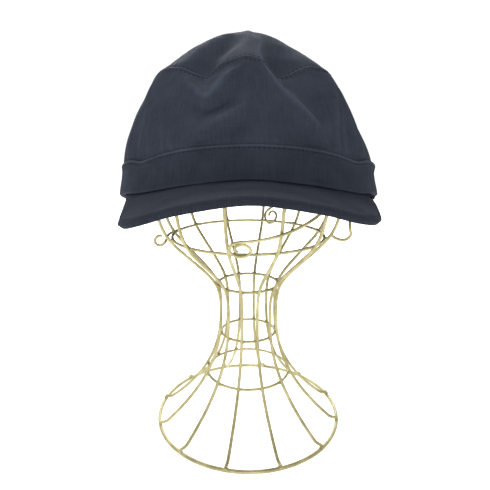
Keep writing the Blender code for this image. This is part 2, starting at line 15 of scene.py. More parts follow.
import bpy
import numpy as np
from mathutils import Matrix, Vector

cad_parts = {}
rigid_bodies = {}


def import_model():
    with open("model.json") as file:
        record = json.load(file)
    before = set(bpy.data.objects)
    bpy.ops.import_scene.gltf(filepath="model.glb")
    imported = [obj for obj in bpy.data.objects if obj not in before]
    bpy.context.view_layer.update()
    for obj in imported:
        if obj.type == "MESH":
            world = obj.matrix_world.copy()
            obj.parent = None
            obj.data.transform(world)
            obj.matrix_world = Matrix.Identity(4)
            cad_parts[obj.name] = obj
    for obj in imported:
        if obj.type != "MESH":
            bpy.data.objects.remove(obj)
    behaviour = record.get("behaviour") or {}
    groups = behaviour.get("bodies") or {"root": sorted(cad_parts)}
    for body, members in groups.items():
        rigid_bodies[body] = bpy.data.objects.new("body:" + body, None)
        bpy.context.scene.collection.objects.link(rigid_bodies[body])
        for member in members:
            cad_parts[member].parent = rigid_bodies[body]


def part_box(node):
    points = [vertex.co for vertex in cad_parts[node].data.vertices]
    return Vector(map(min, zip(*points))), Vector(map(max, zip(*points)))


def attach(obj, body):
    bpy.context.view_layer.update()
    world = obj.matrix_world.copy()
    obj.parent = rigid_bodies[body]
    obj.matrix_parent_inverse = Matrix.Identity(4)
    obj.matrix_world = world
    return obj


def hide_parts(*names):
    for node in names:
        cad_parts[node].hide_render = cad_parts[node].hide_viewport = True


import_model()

LOG = logging.getLogger("patrol_cap")
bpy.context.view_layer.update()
MM = 0.001
# Clearance between pieces that only lie together
GAP = 0.0003
# Points of a line drawn once round the cap
ROUND_POINTS = 721
# Steps of the cloth's grids beside a seam, and where even steps begin
SEAM_STEPS = np.array([0.0, 0.4, 0.8, 1.2, 1.6, 2.0, 2.5, 3.0, 3.6]) * MM
SEAM_STEPS_END = 4.5 * MM
# Points that lie closer than these are one
CLOTH_DOUBLE = 0.00002
WIRE_DOUBLE = 0.00001
# Edges that turn more than this stay sharp, and a cut edge that does is rounded
CLOTH_CORNER = math.radians(60.0)
WIRE_CORNER = math.radians(50.0)
CUT_CORNER = math.radians(50.0)


class WaveRow(NamedTuple):
    """Dips of the band's foot and top at one azimuth, of the band's height."""

    azimuth: float
    foot: float
    top: float


class SectionRow(NamedTuple):
    """How full the crown is at one azimuth."""

    azimuth: float
    wall_bulge: float
    top_power: float


class SeamRow(NamedTuple):
    """Where the seam round the crown's top runs."""

    azimuth: float
    reach: float
    height: float


class BrimRow(NamedTuple):
    """The brim's outer edge at one place across it."""

    across: float
    side: float
    forward: float
    drop: float


class CageRow(NamedTuple):
    """One height of the cage between its waist and its shoulder."""

    rise: float
    spread: float


class ScrollRow(NamedTuple):
    """A scroll wire: where it leaves a rib, how it runs and how its end curls."""

    weld_azimuth: float
    weld_height: float
    azimuth: float
    height: float
    out: float
    radius: float
    end_radius: float
    wide: float
    start: float
    turn: float
    run: float
    first: int
    second: int


class LampRow(NamedTuple):
    """A lamp: its place, with the way back from the stand's axis, its size and its power."""

    name: str
    side: float
    back: float
    height: float
    size: float
    power: float


class Profile(Enum):
    """How a fold rises across its line."""

    ROUND = "round"
    CREASED = "creased"


class Knot(NamedTuple):
    """A place on a fold's line, with the fold's depth there in millimetres."""

    azimuth: float
    level: float
    depth: float


class Fold(NamedTuple):
    """A dent (depth over 0) or ridge (under 0) along a line, its width in millimetres."""

    width: float
    profile: Profile
    knots: tuple[Knot, ...]


def table(kind: type, *rows: tuple[float, ...]) -> tuple:
    """Makes rows of one kind from their plain values."""
    return tuple(kind(*row) for row in rows)


def fold(width: float, profile: Profile, *knots: tuple[float, float, float]) -> Fold:
    """Makes a fold from its width, its profile and its knots' plain values."""
    return Fold(width, profile, table(Knot, *knots))


ROUND, CREASED = Profile

BAND_WAVE = table(
    WaveRow,
    (0.0, 0.00, 0.00), (20.0, 0.10, 0.04), (32.0, 0.17, 0.11), (44.0, 0.20, 0.21),
    (53.0, 0.15, 0.07), (66.0, 0.06, 0.00), (80.0, 0.00, 0.00), (115.0, -0.09, -0.09),
    (145.0, -0.26, -0.25), (180.0, -0.42, -0.40),
)

SECTIONS = table(
    SectionRow,
    (0.0, 0.035, 1.40), (50.0, 0.050, 1.50), (90.0, 0.055, 1.50), (135.0, 0.085, 1.75),
    (180.0, 0.100, 2.00),
)

SEAM = table(
    SeamRow,
    (-180.0, 1.00, 0.940), (-135.0, 1.00, 0.950), (-90.0, 1.00, 0.930), (-55.0, 1.00, 0.915),
    (-45.0, 1.00, 0.900), (-34.0, 0.99, 0.880), (-27.0, 0.98, 0.863), (-21.0, 0.97, 0.858),
    (-14.0, 0.98, 0.880), (-7.0, 0.99, 0.910), (1.0, 1.00, 0.938), (7.0, 0.99, 0.905),
    (12.0, 0.98, 0.870), (18.0, 0.97, 0.850), (26.0, 0.98, 0.865), (34.0, 0.99, 0.885),
    (45.0, 1.00, 0.900), (90.0, 1.00, 0.920), (135.0, 1.00, 0.950), (180.0, 1.00, 0.940),
)

# Widths and depths in millimetres
FOLDS = (
    # Left dent: its bowl under the seam, the valley that leads up from it and its U-shaped rim
    fold(15.0, ROUND, (-21.0, 1.90, 3.8), (-24.0, 2.05, 3.2)),
    fold(
        14.0, ROUND, (-23.5, 2.05, 3.8), (-24.0, 2.20, 3.8), (-21.5, 2.33, 3.0),
        (-17.0, 2.47, 1.7), (-12.0, 2.62, 0.3)
    ),
    fold(
        8.0, ROUND, (-33.0, 1.90, -0.6), (-28.0, 1.85, -1.6), (-22.5, 1.71, -2.8),
        (-16.5, 1.59, -3.8), (-12.5, 1.65, -3.8), (-9.0, 1.75, -3.2), (-6.0, 1.82, -2.2),
        (-2.0, 1.88, -0.8)
    ),
    # Right dent, its valley and the long crease from the peak down across the front
    fold(16.0, ROUND, (22.0, 1.80, 3.0), (22.0, 2.05, 3.0)),
    fold(15.0, ROUND, (22.0, 2.05, 3.4), (29.0, 2.25, 2.8), (36.0, 2.45, 1.4)),
    fold(
        10.0, CREASED, (20.0, 2.80, -0.5), (12.5, 2.35, -1.5), (7.5, 2.05, -1.9),
        (12.0, 1.77, -3.6), (18.0, 1.54, -4.2), (24.0, 1.39, -2.6), (29.0, 1.30, -0.3)
    ),
    # Soft slanting ridge and the shallow hollows of the front panel
    fold(
        10.0, ROUND, (-18.0, 1.16, -3.2), (-10.0, 1.29, -3.4), (-2.0, 1.39, -2.2),
        (3.0, 1.46, -0.5)
    ),
    fold(
        9.0, ROUND, (34.0, 1.10, -1.3), (36.0, 1.50, -2.0), (40.0, 1.76, -2.0),
        (45.0, 1.94, -0.8)
    ),
    fold(14.4, ROUND, (-22.0, 1.52, 1.6), (-15.0, 1.50, 2.6), (-8.0, 1.57, 1.5)),
    fold(14.4, ROUND, (22.0, 1.18, 2.0), (38.0, 1.22, 1.2)),
    # The peak, a little flat where it rests on the cage, and each side of it
    fold(13.0, ROUND, (0.0, 2.96, 1.2), (0.0, 3.0, 1.2)),
    fold(14.0, ROUND, (-100.0, 2.80, 1.8), (-60.0, 2.78, 1.8)),
    fold(14.0, ROUND, (60.0, 2.80, 1.8), (100.0, 2.80, 1.8)),
    # Corners and sides
    fold(20.8, ROUND, (-48.0, 1.90, -1.2), (-46.0, 2.00, -1.2)),
    fold(32.0, ROUND, (-75.0, 2.20, -3.0), (-60.0, 2.60, -1.5)),
    fold(44.8, ROUND, (70.0, 1.55, 3.0), (100.0, 1.50, 3.0)),
)

# Small folds that the wire cage and the seams press into the cloth
CREASES = (
    fold(4.5, CREASED, (-31.5, 1.05, -0.9), (-32.0, 1.26, -0.4)),
    fold(4.0, CREASED, (-27.0, 1.04, -0.8), (-28.5, 1.30, -0.3)),
    fold(3.5, CREASED, (-38.0, 1.02, -0.7), (-39.0, 1.16, -0.2)),
    fold(6.0, ROUND, (-58.0, 1.10, -1.4), (-57.0, 1.30, -1.3), (-55.0, 1.60, -0.6)),
    fold(5.0, ROUND, (-51.0, 1.06, 0.9), (-50.0, 1.30, 0.7), (-50.0, 1.60, 0.3)),
    fold(5.0, ROUND, (34.0, 1.05, -0.9), (37.0, 1.50, -1.1), (43.0, 1.90, -0.6)),
    fold(4.5, ROUND, (38.0, 1.05, 0.8), (41.0, 1.45, 0.8), (46.0, 1.80, 0.3)),
    fold(5.0, ROUND, (52.0, 1.10, -0.9), (53.0, 1.50, -0.9), (56.0, 1.85, -0.4)),
    fold(4.5, ROUND, (60.0, 1.08, 0.8), (60.0, 1.50, 0.6)),
    fold(5.0, ROUND, (-14.0, 1.93, 0.9), (-10.0, 1.98, 0.4)),
    fold(4.0, CREASED, (30.0, 1.97, -0.6), (38.0, 1.93, -0.3)),
    fold(5.0, ROUND, (-30.0, 2.02, 0.7), (-38.0, 2.04, 0.4)),
    fold(6.0, ROUND, (110.0, 1.08, -1.2), (112.0, 1.45, -0.8)),
    fold(6.0, ROUND, (128.0, 1.06, -1.3), (126.0, 1.40, -0.8)),
    fold(6.0, ROUND, (152.0, 1.06, -1.2), (150.0, 1.50, -0.8)),
    fold(6.0, ROUND, (-104.0, 1.08, -1.2), (-102.0, 1.45, -0.8)),
    fold(6.0, ROUND, (-132.0, 1.06, -1.3), (-135.0, 1.40, -0.8)),
    fold(6.0, ROUND, (-158.0, 1.06, -1.2), (-156.0, 1.50, -0.8)),
)

# Sharp crests, raised, each with a painted highlight along it
CRESTS = (
    fold(
        2.8, CREASED, (-28.0, 1.85, -0.3), (-22.5, 1.71, -0.7), (-16.5, 1.59, -1.3),
        (-12.5, 1.65, -1.3), (-9.0, 1.75, -1.0), (-6.0, 1.82, -0.7), (-2.0, 1.88, -0.2)
    ),
    fold(
        2.4, CREASED, (14.0, 2.45, -0.3), (8.5, 2.12, -0.7), (12.0, 1.77, -1.2),
        (18.0, 1.54, -1.3), (24.0, 1.39, -1.0), (29.0, 1.30, -0.2)
    ),
    fold(3.5, CREASED, (-18.0, 1.17, -0.3), (-10.0, 1.29, -0.7), (-1.0, 1.40, -0.4)),
    fold(3.5, CREASED, (35.5, 1.10, -0.3), (36.5, 1.50, -0.5), (41.0, 1.76, -0.3)),
    fold(3.0, CREASED, (40.0, 1.08, -0.3), (42.0, 1.45, -0.4), (46.0, 1.70, -0.2)),
    fold(3.0, CREASED, (-29.0, 1.04, -0.4), (-30.5, 1.15, -0.2)),
    fold(3.0, CREASED, (-33.0, 1.05, -0.4), (-34.0, 1.22, -0.2)),
)

BRIM_EDGE = table(
    BrimRow,
    (0.00, 0.000, 1.000, 0.680), (0.30, 0.390, 0.930, 0.820), (0.50, 0.640, 0.700, 0.962),
    (0.65, 0.795, 0.410, 0.978), (0.78, 0.888, 0.080, 0.905), (0.86, 0.925, -0.100, 0.795),
    (0.93, 0.953, -0.320, 0.640), (1.00, 0.992, -0.730, 0.210),
)

CAGE = table(
    CageRow,
    (0.00, 0.000), (0.12, 0.015), (0.22, 0.085), (0.32, 0.247), (0.46, 0.537), (0.56, 0.735),
    (0.66, 0.862), (0.80, 0.945), (1.00, 1.000),
)

SCROLLS = {
    "scroll_front": ScrollRow(
        46.0, 1.22, -7.0, 1.035, 0.03, 0.92, 0.36, 1.42, 95.0, 490.0, 4.0, 0, 2
    ),
    "scroll_right": ScrollRow(
        106.0, 1.18, 66.0, 1.050, 0.40, 0.60, 1.35, 1.20, 12.0, -178.0, 1.7, 1, 2
    ),
    "scroll_back": ScrollRow(
        134.0, 1.18, 158.5, 1.020, 0.03, 1.05, 0.36, 1.00, 50.0, -410.0, 1.5, 0, 2
    ),
    "scroll_left": ScrollRow(
        -112.0, 0.99, -83.6, 0.987, 0.35, 0.62, 0.60, 1.00, 218.0, 255.0, 0.8, 1, 2
    ),
}
LAMPS = table(
    LampRow,
    ("behind", -0.05, 0.90, 0.85, 0.45, 20.0),
    ("above", -0.20, 0.38, 1.22, 0.45, 10.2),
    ("front", -0.08, -1.10, 0.22, 0.60, 7.8),
)


def linear(code: str) -> tuple[float, float, float, float]:
    """Turns an sRGB hex colour into a linear one.

    Args:
        code: six hex digits with a leading hash.

    Returns:
        Red, green, blue and alpha, linear.
    """
    parts = [int(code[k : k + 2], 16) / 255.0 for k in (1, 3, 5)]
    red, green, blue = (p / 12.92 if p <= 0.04045 else ((p + 0.055) / 1.055) ** 2.4 for p in parts)
    return (red, green, blue, 1.0)


def ease(share: np.ndarray) -> np.ndarray:
    """Shares from 0 to 1, made level at both ends."""
    return share * share * (3.0 - 2.0 * share)


def smooth_line(
    spots: np.ndarray, values: np.ndarray, place: np.ndarray, flat_ends: bool = True
) -> np.ndarray:
    """Reads one smooth line through some values.

    Args:
        spots: the rising places of the values.
        values: the values there.
        place: where to read the line.
        flat_ends: whether the line leaves its two ends level.

    Returns:
        One value for each place.
    """
    slopes = np.zeros(len(spots))
    slopes[1:-1] = (values[2:] - values[:-2]) / (spots[2:] - spots[:-2])
    if not flat_ends:
        slopes[[0, -1]] = np.diff(values)[[0, -1]] / np.diff(spots)[[0, -1]]
    place = np.clip(place, spots[0], spots[-1])
    low = np.clip(np.searchsorted(spots, place, side="right") - 1, 0, len(spots) - 2)
    step = spots[low + 1] - spots[low]
    share = (place - spots[low]) / step
    leave = share * (1.0 - share) ** 2 * step * slopes[low]
    arrive = share * share * (share - 1.0) * step * slopes[low + 1]
    return values[low] + (values[low + 1] - values[low]) * ease(share) + leave + arrive


def read_table(
    rows: Sequence[NamedTuple], name: str, place: np.ndarray, flat_ends: bool = True
) -> np.ndarray:
    """Reads a table's column on a smooth line.

    Args:
        rows: the table, with the places in its first column.
        name: the column to read.
        place: where to read it.
        flat_ends: whether the line leaves its two ends level.

    Returns:
        One value for each place.
    """
    spots = np.array([row[0] for row in rows])
    values = np.array([getattr(row, name) for row in rows])
    return smooth_line(spots, values, place, flat_ends)


def unit(vectors: np.ndarray) -> np.ndarray:
    """Vectors of length 1, along the last axis."""
    return vectors / np.linalg.norm(vectors, axis=-1, keepdims=True)


def polar(azimuth: np.ndarray, radius: np.ndarray, height: np.ndarray) -> np.ndarray:
    """Points round the upright line through the origin.

    Args:
        azimuth: in radians, 0 at the front.
        radius: distance from the line.
        height: height of each point.

    Returns:
        The points, along the last axis.
    """
    azimuth, radius, height = np.broadcast_arrays(azimuth, radius, height)
    return np.stack([radius * np.sin(azimuth), -radius * np.cos(azimuth), height], axis=-1)


def bump_at(distance: np.ndarray, place: float, width: float) -> np.ndarray:
    """A round bump of height 1 at a distance from a seam."""
    return np.exp(-(((distance - place) / width) ** 2))


def ledge(distance: np.ndarray, end: float, soft: float) -> np.ndarray:
    """1 from a seam to the end of its allowance, then 0."""
    return 1.0 / (1.0 + np.exp(np.clip((distance - end) / soft, -30.0, 30.0)))


def spaced(length: float, count: int, last: bool = True) -> np.ndarray:
    """Shares from 0 to 1 that crowd beside each edge that carries a seam.

    Args:
        length: the whole length.
        count: how many even steps lie between.
        last: whether the end carries a seam as well as the start.

    Returns:
        Rising shares.
    """
    edge = SEAM_STEPS / length
    margin = SEAM_STEPS_END / length
    end = 1.0 - edge[::-1] if last else np.array([1.0])
    middle = np.linspace(margin, 1.0 - (margin if last else 0.0), count)
    return np.unique(np.round(np.concatenate([edge, middle, end]), 7))


@dataclass(frozen=True)
class Ripple:
    """Soft unevenness of pressed cloth: a sum of long waves, the same each run."""

    seed: int
    shortest: float
    longest: float
    height: float
    waves: int = 22

    def at(self, points: np.ndarray) -> np.ndarray:
        """Height of the waves, about 0 on average.

        Args:
            points: points along the last axis.

        Returns:
            One height for each point.
        """
        chance = np.random.RandomState(self.seed)
        way = unit(chance.normal(size=(self.waves, 3)))
        length = chance.uniform(self.shortest, self.longest, self.waves)
        phase = chance.uniform(0.0, 2.0 * math.pi, self.waves)
        angle = (points @ way.T) * (2.0 * math.pi / length) + phase
        return self.height * np.sin(angle).sum(axis=-1) / math.sqrt(0.5 * self.waves)


@dataclass(frozen=True)
class EdgeHighlight:
    """A painted highlight: a paler line beside an edge, where the edge catches the light."""

    share: float
    place: float
    width: float

    def at(self, distance: np.ndarray) -> np.ndarray:
        """Share of painted highlight at distances from the edge."""
        return self.share * bump_at(distance, self.place, self.width)


@dataclass(frozen=True)
class SeamShape:
    """How cloth lies beside a seam, as depths inward."""

    turn_in: float
    edge_width: float
    allowance: float
    ridge: float
    stitch_place: float
    stitch_depth: float
    ridge_soft: float = 0.00035
    stitch_width: float = 0.00045

    def at(self, distance: np.ndarray) -> np.ndarray:
        """Depth of the cloth beside the seam.

        Args:
            distance: distances from the seam.

        Returns:
            One depth for each distance.
        """
        depth = self.turn_in * bump_at(distance, 0.0, self.edge_width)
        depth = depth - self.ridge * ledge(distance, self.allowance, self.ridge_soft)
        return depth + self.stitch_depth * bump_at(distance, self.stitch_place, self.stitch_width)


FELLED_SEAM = SeamShape(0.0006, 0.00040, 0.0034, 0.00025, 0.0026, 0.00035)
PLAIN_SEAM = SeamShape(0.0006, 0.00055, 0.0030, 0.00005, 0.0026, 0.0)
BAND_TOP = SeamShape(0.0005, 0.00030, 0.0026, 0.00050, 0.0018, 0.00060)
BAND_FOOT = SeamShape(0.0008, 0.00055, 0.0022, 0.00015, 0.0018, 0.00010)


@dataclass
class CapForm:
    """The cap's outer skin as a function of azimuth and level.

    Level 0 is the band's foot, 1 its top, 2 the seam round the crown's top and 3
    the apex. The form stands level, and place() tips it back onto the stand.
    """

    tilt: float = math.radians(15.0)
    band_half_width: float = 0.0915
    band_front: float = 0.0937
    band_back: float = 0.0978
    band_height: float = 0.0195
    band_lean: float = 0.0018
    band_wall: float = 0.0026
    band_step: float = 0.0010
    band_powers: tuple[float, float] = (2.1, 2.0)
    crown_height: float = 0.0800
    crown_half_width: float = 0.0625
    crown_lean: float = 0.0025
    crown_front: float = 0.0738
    crown_back: float = 0.0570
    crown_middle: float = 0.0080
    crown_rise: float = 0.1124
    crown_powers: tuple[float, float] = (2.9, 2.2)
    apex_forward: float = 0.0250
    seam_foot: float = math.radians(45.0)
    seam_top: float = math.radians(54.0)
    brim_length: float = 0.0571
    brim_half_width: float = 0.0780
    brim_drop: float = 0.0240
    brim_twist: float = 0.15
    brim_half_angle: float = math.radians(60.0)
    brim_tuck: float = 0.0018
    # Height that dents press towards, of the crown's height
    hollow_share: float = 0.4
    # How steeply a creased fold rises to its line, and the straight steps between two knots
    crease_power: float = 1.6
    knot_steps: int = 6
    axis_y: float = field(init=False)
    lift: float = field(init=False)

    def __post_init__(self) -> None:
        """Finds the cap's place from the CAD's foot ring and band."""
        low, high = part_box("foot_ring")
        self.axis_y = 0.5 * (low[1] + high[1])
        around = np.linspace(-math.pi, math.pi, ROUND_POINTS)
        foot = self.tipped(self.band_edge(around, np.zeros_like(around), 0.0))
        self.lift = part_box("band")[0][2] - foot[..., 2].min()

    def tipped(self, ways: np.ndarray) -> np.ndarray:
        """Tips ways of the level cap back.

        Args:
            ways: vectors along the last axis.

        Returns:
            The same vectors in the row frame.
        """
        cos, sin = math.cos(self.tilt), math.sin(self.tilt)
        x, y, z = ways[..., 0], ways[..., 1], ways[..., 2]
        return np.stack([x, y * cos + z * sin, -y * sin + z * cos], axis=-1)

    def place(self, points: np.ndarray) -> np.ndarray:
        """Points of the level cap, tipped back and set on the stand."""
        return self.tipped(points) + np.array([0.0, self.axis_y, self.lift])

    @staticmethod
    def outline(
        azimuth: np.ndarray,
        half_width: np.ndarray,
        front: np.ndarray,
        back: np.ndarray,
        powers: tuple[float, float],
    ) -> np.ndarray:
        """Distance from a level section's middle to its outline.

        Args:
            azimuth: in radians.
            half_width: reach to each side.
            front: reach to the front.
            back: reach to the back.
            powers: how square the outline is at the front and at the back, 2 for an ellipse.

        Returns:
            One distance for each azimuth.
        """
        facing = 0.5 + 0.5 * np.cos(azimuth)
        power = powers[1] + (powers[0] - powers[1]) * facing
        reach = np.where(np.cos(azimuth) > 0.0, front, back)
        across = np.abs(np.sin(azimuth)) / half_width
        along = np.abs(np.cos(azimuth)) / reach
        return (across ** power + along ** power) ** (-1.0 / power)

    def band_edge(self, azimuth: np.ndarray, level: np.ndarray, inset: float) -> np.ndarray:
        """Points of the band's outer skin.

        Args:
            azimuth: in radians.
            level: from 0 at its foot to 1 at its top.
            inset: how far inside the skin they lie.

        Returns:
            Points of the level cap.
        """
        lean = self.band_lean * level + inset
        reaches = (r - lean for r in (self.band_half_width, self.band_front, self.band_back))
        radius = self.outline(azimuth, *reaches, self.band_powers)
        turn = np.abs(np.degrees(azimuth))
        foot = -read_table(BAND_WAVE, "foot", turn)
        top = 1.0 - read_table(BAND_WAVE, "top", turn)
        return polar(azimuth, radius, self.band_height * (foot + (top - foot) * level))

    def crown_seam(self, azimuth: np.ndarray) -> np.ndarray:
        """Points of the seam round the crown's top.

        Args:
            azimuth: in radians.

        Returns:
            Points of the level cap.
        """
        front, back = self.crown_front - self.crown_middle, self.crown_back + self.crown_middle
        radius = self.outline(azimuth, self.crown_half_width, front, back, self.crown_powers)
        turn = np.degrees(azimuth)
        radius = radius * read_table(SEAM, "reach", turn)
        height = self.crown_height * read_table(SEAM, "height", turn)
        return polar(azimuth, radius, height) - np.array([self.crown_lean, self.crown_middle, 0.0])

    def smooth(self, azimuth: np.ndarray, level: np.ndarray) -> np.ndarray:
        """The outer skin before its folds.

        Args:
            azimuth: in radians.
            level: from 0 to 3.

        Returns:
            Points of the level cap.
        """
        azimuth, level = np.broadcast_arrays(azimuth, level)
        turn = np.abs(np.degrees(azimuth))
        band = self.band_edge(azimuth, np.minimum(level, 1.0), 0.0)
        foot = self.band_edge(azimuth, np.ones_like(level), self.band_step)
        seam = self.crown_seam(azimuth)
        share = np.clip(level - 1.0, 0.0, 1.0)[..., None]
        bulge = self.crown_height * read_table(SECTIONS, "wall_bulge", turn)[..., None]
        wall = foot + (seam - foot) * share
        wall = wall + polar(azimuth, 1.0, 0.0) * bulge * 4.0 * share * (1.0 - share)
        share = np.clip(level - 2.0, 0.0, 1.0)[..., None]
        apex = np.array([0.0, -self.apex_forward, self.crown_rise])
        top = seam + (apex - seam) * share
        power = read_table(SECTIONS, "top_power", turn)
        top[..., 2] = apex[2] - (apex[2] - seam[..., 2]) * (1.0 - share[..., 0]) ** power
        level = level[..., None]
        return np.where(level <= 1.0, band, np.where(level <= 2.0, wall, top))

    def inward(self, points: np.ndarray) -> np.ndarray:
        """The way into the hollow.

        Args:
            points: points of the level cap.

        Returns:
            A way of length 1 for each point.
        """
        middle = np.zeros_like(points)
        middle[..., 1] = -self.crown_middle
        middle[..., 2] = np.minimum(points[..., 2], self.hollow_share * self.crown_height)
        return unit(middle - points)

    def fold_line(self, knots: Sequence[Knot]) -> tuple[np.ndarray, np.ndarray]:
        """Follows a fold along the smooth form.

        Args:
            knots: the fold's knots.

        Returns:
            Points of the level cap, and the fold's depth at each.
        """
        spots = np.arange(len(knots), dtype=float)
        place = np.linspace(0.0, spots[-1], self.knot_steps * (len(knots) - 1) + 1)
        azimuth, level, depth = (
            smooth_line(spots, values, place, flat_ends=False) for values in np.array(knots).T
        )
        return self.smooth(np.radians(azimuth), level), depth * MM

    def fold_push(self, points: np.ndarray, folds: Sequence[Fold]) -> np.ndarray:
        """How far folds together push the cloth inward.

        Args:
            points: points of the smooth form.
            folds: the folds.

        Returns:
            One length for each point.
        """
        total = np.zeros(points.shape[:-1])
        for one in folds:
            line, depths = self.fold_line(one.knots)
            width = one.width * MM
            nearest = np.full(total.shape, width)
            depth = np.zeros(total.shape)
            for k in range(len(line) - 1):
                run = line[k + 1] - line[k]
                along = np.clip(((points - line[k]) @ run) / (run @ run), 0.0, 1.0)
                distance = np.linalg.norm(points - line[k] - along[..., None] * run, axis=-1)
                closer = distance < nearest
                nearest = np.where(closer, distance, nearest)
                depth = np.where(closer, depths[k] + (depths[k + 1] - depths[k]) * along, depth)
            near = 1.0 - nearest / width
            rise = ease(near) if one.profile is Profile.ROUND else near ** self.crease_power
            total += depth * rise
        return total

    def panel_seam(self, level: np.ndarray) -> np.ndarray:
        """Azimuth of the seam between the front panel and a side panel."""
        share = np.clip(level - 1.0, 0.0, 1.0)
        return self.seam_foot + (self.seam_top - self.seam_foot) * share * share

    def brim(self, across: np.ndarray, share: np.ndarray) -> np.ndarray:
        """Points of the brim's upper skin.

        Args:
            across: from -1 at its left end to 1 at its right end.
            share: from 0 at its root to 1 at its edge.

        Returns:
            Points of the level cap.
        """
        across, share = np.broadcast_arrays(across, share)
        root = self.band_edge(across * self.brim_half_angle, np.zeros_like(across), self.brim_tuck)
        root[..., 2] -= GAP
        beside = np.abs(across)
        side = read_table(BRIM_EDGE, "side", beside, flat_ends=False)
        forward, drop = (read_table(BRIM_EDGE, name, beside) for name in ("forward", "drop"))
        edge = np.stack(
            [
                np.sign(across) * self.brim_half_width * side,
                -self.band_front - self.brim_length * forward,
                -self.brim_drop * drop * (1.0 - self.brim_twist * across ** 3),
            ],
            axis=-1,
        )
        return root + (edge - root) * share[..., None]


class NodeTree:
    """Adds shader nodes to one material or world."""

    def __init__(
        self, owner: bpy.types.Material | bpy.types.World, shader: str = "Principled BSDF"
    ) -> None:
        """Starts with the shader that a new material or world has.

        Args:
            owner: the material or world.
            shader: that shader's name.
        """
        owner.use_nodes = True
        self.owner = owner
        self.tree = owner.node_tree
        self.shader = self.tree.nodes[shader]

    def add(
        self, kind: str, inputs: dict | None = None, **settings: str
    ) -> bpy.types.NodeOutputs:
        """Adds a node.

        Args:
            kind: the node's type name, without its leading ShaderNode.
            inputs: socket name or number to a value, or to a socket to link.
            settings: attributes to set on it.

        Returns:
            The new node's output sockets.
        """
        node = self.tree.nodes.new("ShaderNode" + kind)
        for name, value in settings.items():
            setattr(node, name, value)
        for name, value in (inputs or {}).items():
            if isinstance(value, bpy.types.NodeSocket):
                self.tree.links.new(value, node.inputs[name])
            else:
                node.inputs[name].default_value = value
        return node.outputs

    def link(self, source: bpy.types.NodeSocket, socket: str) -> None:
        """Links a socket to the shader."""
        self.tree.links.new(source, self.shader.inputs[socket])

    def set(self, **values: float | tuple) -> None:
        """Sets constants on the shader's own sockets; underscores stand for spaces."""
        for name, value in values.items():
            self.shader.inputs[name.replace("_", " ")].default_value = value


# Woven in slanted ribs of short fibres: matt and deep, a little uneven, faintly bluish at the rim
@dataclass(frozen=True)
class CottonTwill:
    """Piece-dyed cotton twill, pressed."""

    name: str = "cotton_twill_navy"
    thread: str = "#2D313B"
    valley: str = "#22262D"
    faded: str = "#3C414C"
    sheen: str = "#8F97B4"
    # A real rib is 0.5 mm wide, under a pixel in the photo's frame, so it is drawn 0.8 mm wide
    rib: float = 0.8 * MM
    # Uneven yarns are 0.3 mm wide and 15 mm long: drawn 0.7 mm wide so that they show
    yarn: float = 0.7 * MM
    slub: float = 15.0 * MM
    # Patches where the dye and the pressing differ
    patch: float = 22.0 * MM
    relief: float = 0.12 * MM

    def make(self) -> bpy.types.Material:
        """Builds the material on the cloth's UV map, which is in metres.

        Returns:
            The material.
        """
        nodes = NodeTree(bpy.data.materials.new(self.name))
        place = nodes.add("TexCoord")
        # Diagonal bands repeat every 2 pi / 10 of x + y, and x + y grows by the root of 2
        # across a rib
        ribs = nodes.add(
            "TexWave",
            {
                "Vector": place["UV"],
                "Scale": 2.0 * math.pi / (10.0 * math.sqrt(2.0) * self.rib),
                "Distortion": 0.6,
                "Detail": 1.0,
            },
            wave_type="BANDS",
            bands_direction="DIAGONAL",
            wave_profile="SIN",
        )["Fac"]
        slubs = []
        for across, along in ((self.yarn, self.slub), (self.slub, self.yarn)):
            scale = (1.0 / across, 1.0 / along, 1.0)
            stretch = nodes.add("Mapping", {"Vector": place["UV"], "Scale": scale})[0]
            slub = nodes.add("TexNoise", {"Vector": stretch, "Scale": 1.0, "Detail": 1.5})
            slubs.append(slub["Fac"])
        weave = nodes.add("Math", {0: slubs[1], 1: 0.6, 2: slubs[0]}, operation="MULTIPLY_ADD")[0]
        wear = nodes.add(
            "TexNoise",
            {"Vector": place["Object"], "Scale": 1.0 / self.patch, "Detail": 4.0, "Roughness": 0.6},
        )["Fac"]
        grain = nodes.add(
            "Mix",
            {"Factor": ribs, "A": linear(self.valley), "B": linear(self.thread)},
            data_type="RGBA",
        )["Result"]
        speck = nodes.add(
            "MapRange",
            {"Value": weave, "From Min": 0.6, "From Max": 1.05, "To Min": 0.15, "To Max": 0.42},
        )[0]
        flecked = nodes.add(
            "Mix", {"Factor": speck, "A": grain, "B": linear(self.faded)}, data_type="RGBA"
        )["Result"]
        cloud = nodes.add(
            "MapRange",
            {"Value": wear, "From Min": 0.3, "From Max": 0.7, "To Min": 0.85, "To Max": 1.15},
        )[0]
        # Painted light from each panel's own attribute: painted highlights on crests and beside
        # seams and edges, and painted shade over the band and the brim
        painted_light = nodes.add("Attribute", attribute_name="painted_light")["Fac"]
        depth = nodes.add("Math", {0: cloud, 1: painted_light, 2: cloud}, operation="MULTIPLY_ADD")[0]
        tinted = nodes.add("VectorMath", {0: flecked, "Scale": depth}, operation="SCALE")[0]
        height = nodes.add("Math", {0: weave, 1: 0.8, 2: ribs}, operation="MULTIPLY_ADD")[0]
        bump = nodes.add("Bump", {"Strength": 0.5, "Distance": self.relief, "Height": height})
        nodes.link(tinted, "Base Color")
        nodes.link(bump[0], "Normal")
        nodes.set(Roughness=0.92, Specular_IOR_Level=0.04, Sheen_Weight=0.03, Sheen_Roughness=0.5)
        nodes.set(Sheen_Tint=linear(self.sheen))
        return nodes.owner
